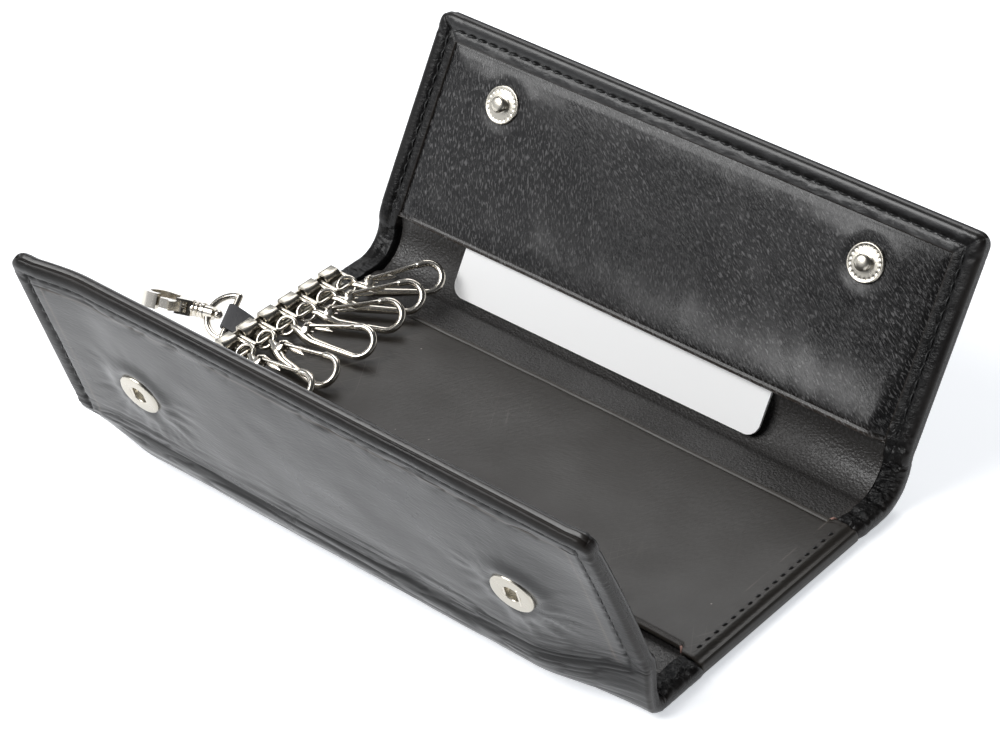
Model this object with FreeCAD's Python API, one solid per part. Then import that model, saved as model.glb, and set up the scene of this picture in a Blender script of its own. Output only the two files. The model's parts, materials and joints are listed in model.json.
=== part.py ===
import FreeCAD, Part
import math
import os

from FreeCAD import Placement, Rotation, Vector

os.makedirs("parts", exist_ok=True)

# Driving dimensions of the leather case, in millimetres and degrees.
# X runs along the folds, Y from the front flap to the rear flap, Z up from the table.
case_length = 147.0
base_front_reach = 26.0
base_rear_reach = 28.6
fold_tangent_reach = 38.2
front_fold_radius = 11.2
front_crease_height = 11.7
front_flap_length = 49.4
front_flap_lean = 18.3
rear_fold_radius = 10.5
rear_crease_height = 11.0
rear_flap_length = 49.8
rear_flap_lean = 29.0
shell_thickness = 1.0
board_thickness = 0.6
lining_thickness = 0.6
lip_thickness = 0.7
lip_width = 5.0
corner_radius = 2.5
board_clearance = 0.1
overrun = 1.0

# Base panel, sewn under the lips at both short ends and bowed up between them.
panel_thickness = 0.9
panel_front_margin = 2.0
panel_rear_margin = 0.2
panel_rise = 1.2

# Card pocket on the rear flap and the card in it.
pocket_thickness = 0.7
pocket_low_edge = 1.0
pocket_wall = 1.4
card_length = 85.6
card_height = 53.98
card_thickness = 0.76
card_corner_radius = 3.18
card_offset = -4.4
card_show = 11.5
card_clearance = 0.12

# Snap fasteners.
stud_from_card = 1.25
stud_from_crease = 34.5
socket_from_crease = 18.0
stud_flange_radius = 4.45
stud_flange_thickness = 0.7
stud_neck_radius = 1.4
stud_neck_height = 1.1
stud_bulb_radius = 1.9
stud_bulb_height = 1.5
stud_height = 2.6
post_stem_radius = 1.0
post_flange_radius = 3.8
post_flange_thickness = 0.5
post_clearance = 0.1
socket_radius = 5.1
socket_height = 1.3
socket_hole_radius = 2.2
socket_cavity_radius = 3.4
socket_wall = 0.3
socket_tube_wall = 0.45
spring_wire_radius = 0.28
spring_wire_gap = 0.18

# Key rail.
rail_middle = 7.5
rail_from_end = 3.7
rail_axis_height = 6.7
rail_plate_thickness = 0.8
rail_plate_width = 4.0
rail_plate_margin = 0.3
hook_count = 6
knuckle_pitch = 6.8
knuckle_width = 4.5
knuckle_wall = 0.8
rivet_head_radius = 1.0
rivet_head_height = 0.5
rivet_stem_radius = 0.6
rivet_tail_radius = 1.5
rivet_pitch_shares = (-2, 2)

# Bails and snap hooks.
bail_wire_radius = 0.45
bail_clearance = 0.3
bail_length = 5.5
bail_corner_radius = 0.9
bail_drop = 1.0
leg_clearance = 0.1
eye_radius = 2.1
eye_wire_radius = 0.5
hook_wire_radius = 0.8
hook_reach = 22.6
hook_half_width = 3.5
hook_tip_overlap = 1.1
shank_start = 7.3
shank_drop = 2.3
cheek_thickness = 0.35
neck_half_height = 0.9
neck_half_width = 0.55
cheek_start = 3.2
cheek_end = 9.5
cheek_top = 2.0
web_thickness = 0.7
fin_length = 2.2
pivot_u = 5.2
pivot_v = 0.9
pivot_radius = 0.45
pivot_clearance = 0.05
gate_radius = 0.55
gate_hub_radius = 1.0
gate_hub_thickness = 0.6
gate_side_clearance = 0.05
gate_bar_start = 2.4
gate_lap = 0.05
gate_tip_clearance = 0.15
coil_wire_radius = 0.15
coil_radius = 1.0
coil_pitch = 0.74
coil_quarters = 6
coil_end_clearance = 0.19
coil_leg_length = 2.0
# Turn to the side, lift and lean of each hook, from the front of the rail to its rear.
hook_yaws = (-8.0, -4.0, 14.0, 31.0, 35.0, 41.0)
hook_lifts = (2.0, 2.0, 4.0, 3.5, 5.5, 6.5)
hook_leans = (54.0, 52.0, 50.0, 52.0, 50.0, 52.0)

# Swivel clasp on its leather tab.
tab_width = 6.0
tab_middle = 0.5
tab_root_length = 7.0
tab_fit = 0.2
clasp_yaw = 16.0
clasp_roll = -30.0
claw_roll = 60.0
clasp_height = 4.4
ring_reach = 4.8
ring_radius = 5.5
ring_wire_radius = 0.8
ring_clearance = 0.2
tab_thickness = 0.8
boss_radius = 1.6
boss_length = 2.2
swivel_radius = 0.6
swivel_clearance = 0.06
ball_radius = 1.15
ball_clearance = 0.07
neck_radius = 1.9
neck_length = 3.2
neck_groove = 0.45
claw_length = 12.6
claw_half_width = 4.5
claw_thickness = 3.6
claw_wall = 1.8
claw_root_half_width = 1.8
lever_thickness = 2.2
lever_clearance = 0.12
lever_pivot_radius = 0.5
lever_hub_radius = 1.3
lever_thumb = 1.8
lever_hub_thickness = 0.7
lever_coil_wire_radius = 0.12
lever_coil_pitch = 0.66
lever_coil_leg = 1.2
lever_coil_lift = 0.18

# Heights of the layers, worked out from their thicknesses.
half_length = case_length / 2
panel_front_reach = base_front_reach - panel_front_margin
panel_rear_reach = base_rear_reach - panel_rear_margin
rail_axis_x = rail_from_end - half_length
snap_spacing = card_length + 2 * (abs(card_offset) + post_stem_radius + stud_from_card)
board_level = shell_thickness
lining_level = board_level + board_thickness
panel_level = lining_level + lining_thickness
base_lip_level = panel_level + panel_thickness
base_top = base_lip_level + lip_thickness
pocket_depth = card_thickness + 2 * card_clearance
pocket_top = panel_level + pocket_depth + pocket_thickness
rear_lip_level = panel_level + pocket_thickness

X_AXIS = Vector(1, 0, 0)
Y_AXIS = Vector(0, 1, 0)
Z_AXIS = Vector(0, 0, 1)
right_angle = 90.0
half_turn = 180.0
full_turn = 360.0


def block(low, high):
    """A box between two corners."""
    size = Vector(*high) - Vector(*low)
    return Part.makeBox(size.x, size.y, size.z, Vector(*low))


def disc(radius, low, high, x, y):
    """An upright cylinder between two heights."""
    return Part.makeCylinder(radius, high - low, Vector(x, y, low))


def extruded(points, direction):
    """A prism on a closed outline of straight edges."""
    corners = [Vector(*p) for p in points]
    return Part.Face(Part.makePolygon(corners + corners[:1])).extrude(Vector(*direction))


def turned(edges):
    """A full turn about Z of an outline drawn in the XZ plane."""
    return Part.Face(Part.Wire(edges)).revolve(Vector(), Z_AXIS, full_turn)


def line(a, b):
    return Part.LineSegment(Vector(*a), Vector(*b)).toShape()


def arc(a, middle, b):
    return Part.Arc(Vector(*a), Vector(*middle), Vector(*b)).toShape()


def wire_solid(edges, radius):
    """Round wire of one radius along a smooth path."""
    start = edges[0].valueAt(edges[0].FirstParameter)
    along = edges[0].tangentAt(edges[0].FirstParameter)
    ring = Part.Wire(Part.makeCircle(radius, start, along))
    return Part.Wire(edges).makePipeShell([ring], True, False)


def placed(shape, placement):
    moved = shape.copy()
    moved.Placement = placement.multiply(moved.Placement)
    return moved


def joined(first, *others):
    return first.fuse(list(others)).removeSplitter()


def save(name, *solids):
    shape = solids[0] if len(solids) == 1 else Part.makeCompound(list(solids))
    shape.exportStep(f"parts/{name}.step")


# The flaps are drawn flat: X along the crease, Y away from it, Z from the outer face inwards.
front_crease_y = -(fold_tangent_reach + front_fold_radius)
rear_crease_y = fold_tangent_reach + rear_fold_radius
front_place = Placement(
    Vector(0, front_crease_y, front_crease_height),
    Rotation(X_AXIS, front_flap_lean - right_angle).multiply(Rotation(Z_AXIS, half_turn)),
)
rear_place = Placement(
    Vector(0, rear_crease_y, rear_crease_height),
    Rotation(X_AXIS, right_angle - rear_flap_lean),
)
snap_places = [-snap_spacing / 2, snap_spacing / 2]


def turned_edge_shell(flap_length, lip_level):
    """Outer leather of a flap, turned over its three free edges onto the inner face."""
    outside = block((-half_length, 0, 0), (half_length, flap_length, lip_level + lip_thickness))
    corners = [
        edge
        for edge in outside.Edges
        if abs(edge.tangentAt(edge.FirstParameter).z) == 1 and edge.CenterOfMass.y > flap_length / 2
    ]
    outside = outside.makeFillet(corner_radius, corners)
    filling = block(
        (shell_thickness - half_length, -overrun, shell_thickness),
        (half_length - shell_thickness, flap_length - shell_thickness, lip_level),
    )
    window = block(
        (lip_width - half_length, -overrun, shell_thickness),
        (half_length - lip_width, flap_length - lip_width, lip_level + lip_thickness + overrun),
    )
    return outside.cut([filling, window])


def flap_layer(flap_length, low, high, inset):
    """A flat layer that fills a flap between its turned edges."""
    side = half_length - shell_thickness - inset
    return block((-side, 0, low), (side, flap_length - shell_thickness - inset, high))


def fold_layer(radius, reach, rise, lean, side, low, high):
    """Leather of one fold between two depths: flat, round, then upright to the crease."""
    lean_sine = math.sin(math.radians(lean))
    lean_cosine = math.cos(math.radians(lean))
    half_corner = math.sqrt(2) / 2

    def point(y, z):
        return (-half_length, side * y, z)

    def border(depth):
        inner = radius - depth
        bend = fold_tangent_reach
        crease = point(bend + radius - depth * lean_cosine, rise + depth * lean_sine)
        middle = point(bend + inner * half_corner, radius - inner * half_corner)
        return point(reach, depth), point(bend, depth), middle, point(bend + inner, radius), crease

    a, b, c, d, e = border(low)
    p, q, r, s, t = border(high)
    outside = [line(a, b), arc(b, c, d), line(d, e)]
    inside = [line(t, s), arc(s, r, q), line(q, p)]
    outline = outside + [line(e, t)] + inside + [line(p, a)]
    return Part.Face(Part.Wire(outline)).extrude(Vector(case_length, 0, 0))


# Base: outer leather with its short ends turned in, stiffening board and lining.
base_side = half_length - shell_thickness
base_shell = block((-half_length, -base_front_reach, 0), (half_length, base_rear_reach, base_top))
base_shell = base_shell.cut(
    [
        block(
            (-base_side, -base_front_reach - overrun, shell_thickness),
            (base_side, base_rear_reach + overrun, base_lip_level),
        ),
        block(
            (lip_width - half_length, -base_front_reach - overrun, shell_thickness),
            (half_length - lip_width, base_rear_reach + overrun, base_top + overrun),
        ),
    ]
)
layer_side = base_side - board_clearance


def base_layer(low, high):
    return block((-layer_side, -base_front_reach, low), (layer_side, base_rear_reach, high))


base_board = base_layer(board_level, lining_level)
base_lining = base_layer(lining_level, panel_level)

# Base panel: flat ends under the lips and a shallow bow between them.
bow_end = half_length - lip_width


def panel_point(x, z):
    return (x, -panel_front_reach, z)


def bow(z):
    return arc(panel_point(-bow_end, z), panel_point(0, z + panel_rise), panel_point(bow_end, z))


panel_high = panel_level + panel_thickness
panel_outline = [
    line(panel_point(-layer_side, panel_level), panel_point(-bow_end, panel_level)),
    bow(panel_level),
    line(panel_point(bow_end, panel_level), panel_point(layer_side, panel_level)),
    line(panel_point(layer_side, panel_level), panel_point(layer_side, panel_high)),
    line(panel_point(layer_side, panel_high), panel_point(bow_end, panel_high)),
    bow(panel_high),
    line(panel_point(-bow_end, panel_high), panel_point(-layer_side, panel_high)),
    line(panel_point(-layer_side, panel_high), panel_point(-layer_side, panel_level)),
]
panel_width = panel_front_reach + panel_rear_reach
base_panel = Part.Face(Part.Wire(panel_outline)).extrude(Vector(0, panel_width, 0))

# Front flap: outer leather, board and facing, with holes for the two sockets.
front_shell = turned_edge_shell(front_flap_length, panel_level)
front_board = flap_layer(front_flap_length, board_level, lining_level, board_clearance)
front_lining = flap_layer(front_flap_length, lining_level, panel_level, board_clearance)
tube_radius = socket_hole_radius + socket_tube_wall
for x in snap_places:
    tube_hole = disc(tube_radius + post_clearance, -overrun, lining_level, x, socket_from_crease)
    flange_hole = disc(post_flange_radius + post_clearance, board_level, lining_level, x, socket_from_crease)
    front_shell = front_shell.cut(tube_hole)
    front_board = front_board.cut(flange_hole)

# Rear flap: outer leather, board and lining, with holes for the posts of the two studs.
rear_shell = turned_edge_shell(rear_flap_length, rear_lip_level)
rear_board = flap_layer(rear_flap_length, board_level, lining_level, board_clearance)
rear_lining = flap_layer(rear_flap_length, lining_level, panel_level, board_clearance)

# Card pocket: a panel raised over the card, with a flange sewn under the lips on three sides.
pocket_side = half_length - lip_width
cavity_top = pocket_low_edge + card_height - card_show + card_clearance
pocket_panel = joined(
    flap_layer(rear_flap_length, panel_level, rear_lip_level, board_clearance).cut(
        block((-half_length, -overrun, 0), (half_length, pocket_low_edge, pocket_top))
    ),
    block(
        (-pocket_side, pocket_low_edge, panel_level),
        (pocket_side, rear_flap_length - lip_width, pocket_top),
    ),
)
pocket_panel = pocket_panel.cut(
    block(
        (pocket_wall - pocket_side, 0, panel_level),
        (pocket_side - pocket_wall, cavity_top, panel_level + pocket_depth),
    )
)
stem_hole_radius = post_stem_radius + post_clearance
for x in snap_places:
    stem_hole = disc(stem_hole_radius, 0, pocket_top + overrun, x, stud_from_crease)
    rear_board = rear_board.cut(
        disc(post_flange_radius + post_clearance, board_level, lining_level, x, stud_from_crease)
    )
    rear_lining = rear_lining.cut(stem_hole)
    pocket_panel = pocket_panel.cut(stem_hole)

# Blank card with round corners, pushed to the end of the pocket.
card_low = pocket_low_edge - card_show
card_level = panel_level + card_clearance
card = block(
    (card_offset - card_length / 2, card_low, card_level),
    (card_offset + card_length / 2, card_low + card_height, card_level + card_thickness),
)
card_corners = [edge for edge in card.Edges if abs(edge.tangentAt(edge.FirstParameter).z) == 1]
card = card.makeFillet(card_corner_radius, card_corners)

# Snap studs: flange, neck and rounded bulb, riveted on a post from behind.
dome_rise = stud_height - stud_bulb_height
dome_radius = (stud_bulb_radius ** 2 + dome_rise ** 2) / (2 * dome_rise)
dome_angle = math.asin(stud_bulb_radius / dome_radius) / 2
stem_top = stud_flange_thickness / 2


def stud_point(radius, height):
    return (radius, 0, pocket_top + stud_flange_thickness + height)


stud_outline = [
    (post_stem_radius, 0, pocket_top),
    (stud_flange_radius, 0, pocket_top),
    stud_point(stud_flange_radius, 0),
    stud_point(stud_neck_radius, 0),
    stud_point(stud_neck_radius, stud_neck_height),
    stud_point(stud_bulb_radius, stud_bulb_height),
]
dome = arc(
    stud_outline[-1],
    stud_point(dome_radius * math.sin(dome_angle), stud_height - dome_radius * (1 - math.cos(dome_angle))),
    stud_point(0, stud_height),
)
stud = turned(
    [line(a, b) for a, b in zip(stud_outline, stud_outline[1:])]
    + [
        dome,
        line(stud_point(0, stud_height), stud_point(0, stem_top)),
        line(stud_point(0, stem_top), stud_point(post_stem_radius, stem_top)),
        line(stud_point(post_stem_radius, stem_top), stud_outline[0]),
    ]
)
stem_end = pocket_top + stud_flange_thickness + stem_top
stud_post = joined(
    disc(post_flange_radius, board_level, board_level + post_flange_thickness, 0, 0),
    disc(post_stem_radius, board_level, stem_end, 0, 0),
)

# Snap sockets: a hollow button held by a flanged tube, with two spring wires across the hole.
socket = disc(socket_radius, -socket_height, 0, 0, 0).cut(
    [
        disc(socket_hole_radius, -socket_height - overrun, 0, 0, 0),
        disc(socket_cavity_radius, socket_wall - socket_height, -socket_wall, 0, 0),
        disc(tube_radius, -socket_wall - overrun, overrun, 0, 0),
    ]
)
socket_post = joined(
    disc(post_flange_radius, board_level, board_level + post_flange_thickness, 0, 0),
    disc(tube_radius, -socket_wall, board_level + post_flange_thickness, 0, 0),
).cut(disc(socket_hole_radius, -socket_height, lining_level, 0, 0))
wire_place = stud_neck_radius + spring_wire_gap + spring_wire_radius
wire_half_length = math.sqrt((socket_cavity_radius - socket_wall) ** 2 - wire_place ** 2)
wire_level = -socket_height / 2
socket_wires = []
for side in (-1, 1):
    wire_start = Vector(side * wire_place, -wire_half_length, wire_level)
    socket_wires.append(Part.makeCylinder(spring_wire_radius, 2 * wire_half_length, wire_start, Y_AXIS))


def at_snaps(shape, from_crease, flap_place):
    """One copy of a snap piece at each end of a flap."""
    spots = [Placement(Vector(x, from_crease, 0), Rotation()) for x in snap_places]
    return [placed(shape, flap_place.multiply(spot)) for spot in spots]


# Key rail: a riveted plate with six knuckles rolled over the bails.
rail_half_length = (hook_count - 1) * knuckle_pitch / 2 + knuckle_width / 2 + rail_plate_margin
knuckle_bore = bail_wire_radius + bail_clearance
knuckle_radius = knuckle_bore + knuckle_wall
plate_left = rail_axis_x - knuckle_radius
plate_top = base_top + rail_plate_thickness
hook_rows = [rail_middle + (k - (hook_count - 1) / 2) * knuckle_pitch for k in range(hook_count)]
key_rail = block(
    (plate_left, rail_middle - rail_half_length, base_top),
    (plate_left + rail_plate_width, rail_middle + rail_half_length, plate_top),
)
bore_top = rail_axis_height + knuckle_bore
knuckle_top = rail_axis_height + knuckle_radius
for y in hook_rows:
    low = y - knuckle_width / 2
    high = y + knuckle_width / 2
    key_rail = joined(
        key_rail,
        Part.makeCylinder(knuckle_radius, knuckle_width, Vector(rail_axis_x, low, rail_axis_height), Y_AXIS),
        block((plate_left, low, base_top), (rail_axis_x - knuckle_bore, high, knuckle_top)),
        block((plate_left, low, bore_top), (rail_axis_x + knuckle_bore, high, knuckle_top)),
    )
rail_bore = Part.makeCylinder(
    knuckle_bore,
    2 * rail_half_length + 2 * overrun,
    Vector(rail_axis_x, rail_middle - rail_half_length - overrun, rail_axis_height),
    Y_AXIS,
)
key_rail = key_rail.cut(rail_bore)

# Rail rivets, set between the outer knuckles and headed over inside the base's board.
rivet_x = rail_axis_x + rivet_head_radius / 2
rivets = []
for row in rivet_pitch_shares:
    y = rail_middle + row * knuckle_pitch
    rivets.append(
        joined(
            disc(rivet_head_radius, plate_top, plate_top + rivet_head_height, rivet_x, y),
            disc(rivet_stem_radius, board_level, plate_top, rivet_x, y),
            disc(rivet_tail_radius, board_level, lining_level, rivet_x, y),
        )
    )
    stem_hole = disc(rivet_stem_radius, board_level, plate_top, rivet_x, y)
    base_shell = base_shell.cut(disc(rivet_stem_radius, base_lip_level - overrun, base_top, rivet_x, y))
    base_board = base_board.cut(disc(rivet_tail_radius, board_level, lining_level, rivet_x, y))
    base_lining = base_lining.cut(stem_hole)
    base_panel = base_panel.cut(stem_hole)
    key_rail = key_rail.cut(stem_hole)

# Bail: a closed wire loop through a knuckle and a hook's eye, drawn along X from the knuckle.
bail_half_width = knuckle_width / 2 + leg_clearance + bail_wire_radius
bail_middle = bail_length / 2
corner_share = 1 - math.sqrt(2) / 2
corner_cut = bail_corner_radius * corner_share


def bail_corner(x_side, y_side):
    """Ends and middle of one round corner, from the leg to the bar."""
    x = bail_middle + x_side * bail_middle
    y = y_side * bail_half_width
    on_leg = (x - x_side * bail_corner_radius, y, 0)
    on_bar = (x, y - y_side * bail_corner_radius, 0)
    return on_leg, (x - x_side * corner_cut, y - y_side * corner_cut, 0), on_bar


far_right, near_right = bail_corner(1, 1), bail_corner(-1, 1)
far_left, near_left = bail_corner(1, -1), bail_corner(-1, -1)
bail = wire_solid(
    [
        line(near_right[0], far_right[0]),
        arc(*far_right),
        line(far_right[2], far_left[2]),
        arc(*reversed(far_left)),
        line(far_left[0], near_left[0]),
        arc(*near_left),
        line(near_left[2], near_right[2]),
        arc(*reversed(near_right)),
    ],
    bail_wire_radius,
)
bail_turn = Rotation(Y_AXIS, bail_drop)

# Snap hook, drawn in the XZ plane with its eye at the origin and its nose along X.
# The shank and the gate run straight from near the eye and touch the round nose.
nose_u = hook_reach - hook_wire_radius - hook_half_width


def slope_to_nose(u, v, side):
    """Angle of the straight line from a point that touches the nose's centre line on one side."""
    return math.atan2(-v, nose_u - u) + side * math.asin(hook_half_width / math.hypot(nose_u - u, v))


def on_nose(angle):
    """Point of the nose's centre line, its angle counted from the hook's axis."""
    return (nose_u + hook_half_width * math.cos(angle), 0, hook_half_width * math.sin(angle))


quarter = math.radians(right_angle)
shank_slope = slope_to_nose(shank_start, -shank_drop, -1)
gate_slope = slope_to_nose(pivot_u, pivot_v, 1)
shank_end = on_nose(shank_slope - quarter)
tip_start = on_nose(gate_slope + quarter)
gate_way = Vector(math.cos(gate_slope), 0, math.sin(gate_slope))
tip_end = Vector(*tip_start) - gate_way * hook_tip_overlap


def shank_low(u):
    """Height of the shank's underside, also that of the stamped body."""
    return (u - shank_start) * math.tan(shank_slope) - shank_drop - hook_wire_radius


coil_width = coil_quarters * coil_pitch / 4 + 2 * coil_wire_radius
cheek_gap = gate_hub_thickness + 2 * gate_side_clearance + coil_width + coil_end_clearance
cheek_outside = cheek_gap / 2 + cheek_thickness
shoulder_share = 0.3
fin_height_share = 0.45
web_end = cheek_start + web_thickness
cheek_outline = [
    (cheek_start, -cheek_outside, shank_low(cheek_start)),
    (cheek_start, -cheek_outside, neck_half_height),
    (pivot_u - gate_hub_radius, -cheek_outside, cheek_top),
    (pivot_u + gate_hub_radius, -cheek_outside, cheek_top),
    (pivot_u + gate_bar_start, -cheek_outside, cheek_top * shoulder_share),
    (cheek_end + fin_length, -cheek_outside, shank_low(cheek_end) * fin_height_share),
    (cheek_end, -cheek_outside, -shank_drop),
    (cheek_end, -cheek_outside, shank_low(cheek_end)),
]
web_outline = [
    (cheek_start, -cheek_outside, shank_low(cheek_start)),
    (cheek_start, -cheek_outside, neck_half_height),
    (web_end, -cheek_outside, neck_half_height),
    (web_end, -cheek_outside, shank_low(web_end) + web_thickness),
    (cheek_end, -cheek_outside, shank_low(cheek_end) + web_thickness),
    (cheek_end, -cheek_outside, shank_low(cheek_end)),
]
near_cheek = extruded(cheek_outline, (0, cheek_thickness, 0))
far_cheek = near_cheek.copy()
far_cheek.translate(Vector(0, cheek_gap + cheek_thickness, 0))
hook = joined(
    Part.makeTorus(eye_radius, eye_wire_radius, Vector(), Y_AXIS),
    block((eye_radius, -neck_half_width, -neck_half_height), (web_end, neck_half_width, neck_half_height)),
    extruded(web_outline, (0, 2 * cheek_outside, 0)),
    near_cheek,
    far_cheek,
    Part.makeCylinder(pivot_radius, 2 * cheek_outside, Vector(pivot_u, -cheek_outside, pivot_v), Y_AXIS),
    wire_solid(
        [
            line((shank_start, 0, -shank_drop), shank_end),
            arc(shank_end, on_nose(0), tip_start),
            Part.LineSegment(Vector(*tip_start), tip_end).toShape(),
        ],
        hook_wire_radius,
    ),
)

# Gate: an eye on the pivot pin, a side arm and a round bar that ends against the hook's tip.
pivot = Vector(pivot_u, 0, pivot_v)
bar_start = pivot + gate_way * gate_bar_start
bar_length = (tip_end - bar_start).Length - gate_tip_clearance
hub_low = gate_side_clearance - cheek_gap / 2
hub_high = hub_low + gate_hub_thickness
arm_end = gate_bar_start + gate_radius
gate_arm = joined(
    block((0, hub_low, -gate_radius), (arm_end, hub_high, gate_radius)),
    block((gate_bar_start, hub_low, -gate_radius), (arm_end, gate_lap - gate_radius, gate_radius)),
)
gate_arm.rotate(Vector(), Y_AXIS, -math.degrees(gate_slope))
gate_arm.translate(pivot)
gate = joined(
    Part.makeCylinder(gate_hub_radius, gate_hub_thickness, Vector(pivot_u, hub_low, pivot_v), Y_AXIS),
    gate_arm,
    Part.makeCylinder(gate_radius, bar_length, bar_start, gate_way),
)
eye_bore = pivot_radius + pivot_clearance
gate = gate.cut(Part.makeCylinder(eye_bore, cheek_gap, Vector(pivot_u, -cheek_gap / 2, pivot_v), Y_AXIS))


def biarc(a, along_a, b, along_b):
    """Two tangent arcs from a to b that leave and arrive along the given directions."""
    chord = b - a
    both = along_a + along_b
    slack = 2 * (1 - along_a.dot(along_b))
    reach = chord.dot(both)
    step = (-reach + math.sqrt(reach ** 2 + slack * chord.dot(chord))) / slack
    knot_a = a + along_a * step
    knot_b = b - along_b * step
    middle = (knot_a + knot_b) / 2

    def bend(start, corner, end):
        half = (start + end) / 2
        out = corner - half
        leg = (corner - start).Length
        base = (end - start).Length / 2
        sag = base * (leg - base) / out.Length
        return Part.Arc(start, half + out / out.Length * sag, end).toShape()

    return [bend(a, knot_a, middle), bend(middle, knot_b, b)]


def torsion_spring(wire_radius, pitch, leg_length):
    """A coil about Y that starts at its middle's height, with a straight leg at each end."""
    slope = pitch / (2 * math.pi * coil_radius)

    def coil_point(quarters):
        angle = math.radians(-right_angle * (1 + quarters))
        place = Vector(coil_radius * math.cos(angle), quarters * pitch / 4, coil_radius * math.sin(angle))
        return place, Vector(math.sin(angle), slope, -math.cos(angle)).normalize()

    points = [coil_point(q) for q in range(coil_quarters + 1)]
    first_place, first_along = points[0]
    last_place, last_along = points[-1]
    path = [Part.LineSegment(first_place - first_along * leg_length, first_place).toShape()]
    for (a, along_a), (b, along_b) in zip(points, points[1:]):
        path += biarc(a, along_a, b, along_b)
    path.append(Part.LineSegment(last_place, last_place + last_along * leg_length).toShape())
    samples = [coil_point(k / samples_per_quarter)[0] for k in range(coil_quarters * samples_per_quarter + 1)]
    least_gap = min(
        (samples[i] - samples[k]).Length
        for i in range(len(samples))
        for k in range(i + 2 * samples_per_quarter, len(samples))
    )
    print("torsion spring, least gap between turns:", round(least_gap - 2 * wire_radius, 2))
    return wire_solid(path, wire_radius)


# Gate spring: a torsion coil round the pivot pin, beside the gate's eye.
samples_per_quarter = 8
coil_start = hub_high + gate_side_clearance + coil_wire_radius
gate_spring = torsion_spring(coil_wire_radius, coil_pitch, coil_leg_length)
gate_spring.translate(Vector(pivot_u, coil_start, pivot_v))

# Each bail, hook, gate and spring stands at its own knuckle.
bar_offset = bail_turn.multVec(Vector(bail_length, 0, 0))
for k, y in enumerate(hook_rows):
    axis_point = Vector(rail_axis_x, y, rail_axis_height)
    hook_turn = Rotation(Z_AXIS, hook_yaws[k]).multiply(Rotation(Y_AXIS, -hook_lifts[k]))
    hook_place = Placement(axis_point + bar_offset, hook_turn.multiply(Rotation(X_AXIS, -hook_leans[k])))
    save(f"bail_{k + 1}", placed(bail, Placement(axis_point, bail_turn)))
    save(f"hook_{k + 1}", placed(hook, hook_place))
    save(f"gate_{k + 1}", placed(gate, hook_place))
    save(f"gate_spring_{k + 1}", placed(gate_spring, hook_place))

# Clasp, drawn along X from the straight bar of its D-ring, then turned to lie outside the left end.
ring_place = Placement(
    Vector(-half_length - ring_reach, tab_middle, clasp_height),
    Rotation(Z_AXIS, half_turn + clasp_yaw).multiply(Rotation(X_AXIS, clasp_roll)),
)
half_ring = Part.makeTorus(ring_radius, ring_wire_radius, Vector(), Z_AXIS, -half_turn, half_turn, half_turn)
half_ring.rotate(Vector(), Z_AXIS, -right_angle)
ball_u = ring_clearance + ring_wire_radius + tab_thickness + ring_clearance + ball_radius
boss_start = ball_u + math.sqrt(ball_radius ** 2 - swivel_radius ** 2) + ball_clearance
boss_end = boss_start + boss_length
boss_bore = swivel_radius + swivel_clearance
clasp_ring = joined(
    half_ring,
    Part.makeCylinder(ring_wire_radius, 2 * ring_radius, Vector(0, -ring_radius, 0), Y_AXIS),
    Part.makeSphere(ring_wire_radius, Vector(0, -ring_radius, 0)),
    Part.makeSphere(ring_wire_radius, Vector(0, ring_radius, 0)),
    Part.makeCylinder(boss_radius, boss_length, Vector(boss_start, 0, 0), X_AXIS),
)
bore_start = Vector(boss_start - overrun, 0, 0)
clasp_ring = clasp_ring.cut(Part.makeCylinder(boss_bore, boss_length + 2 * overrun, bore_start, X_AXIS))

# Swivel pin: a ball inside the ring and a shaft that turns in the ring's boss.
neck_start = boss_end + ball_clearance
neck_end = neck_start + neck_length
pin_end = neck_start + neck_length / 2
ball_back = ball_u - ball_radius
ball_front = ball_u + math.sqrt(ball_radius ** 2 - swivel_radius ** 2)
pin_outline = [
    arc((ball_back, 0, 0), (ball_u, 0, ball_radius), (ball_front, 0, swivel_radius)),
    line((ball_front, 0, swivel_radius), (pin_end, 0, swivel_radius)),
    line((pin_end, 0, swivel_radius), (pin_end, 0, 0)),
    line((pin_end, 0, 0), (ball_back, 0, 0)),
]
swivel_pin = Part.Face(Part.Wire(pin_outline)).revolve(Vector(), X_AXIS, full_turn)

# Claw: ribbed neck, tapered sides and round nose, open on one side for the lever. It is turned on its swivel.
claw_place = ring_place.multiply(Placement(Vector(), Rotation(X_AXIS, claw_roll)))
claw_end = neck_end + claw_length
nose_centre = claw_end - claw_half_width
claw_inside = claw_half_width - claw_wall
inside_start = neck_end + claw_wall
claw_low = -claw_thickness / 2


def tapered(start, start_half_width, half_width, low, high):
    """A wedge that widens to a round end."""
    wedge = extruded(
        [
            (start, -start_half_width, low),
            (nose_centre, -half_width, low),
            (nose_centre, half_width, low),
            (start, start_half_width, low),
        ],
        (0, 0, high - low),
    )
    return joined(wedge, disc(half_width, low, high, nose_centre, 0))


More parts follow.
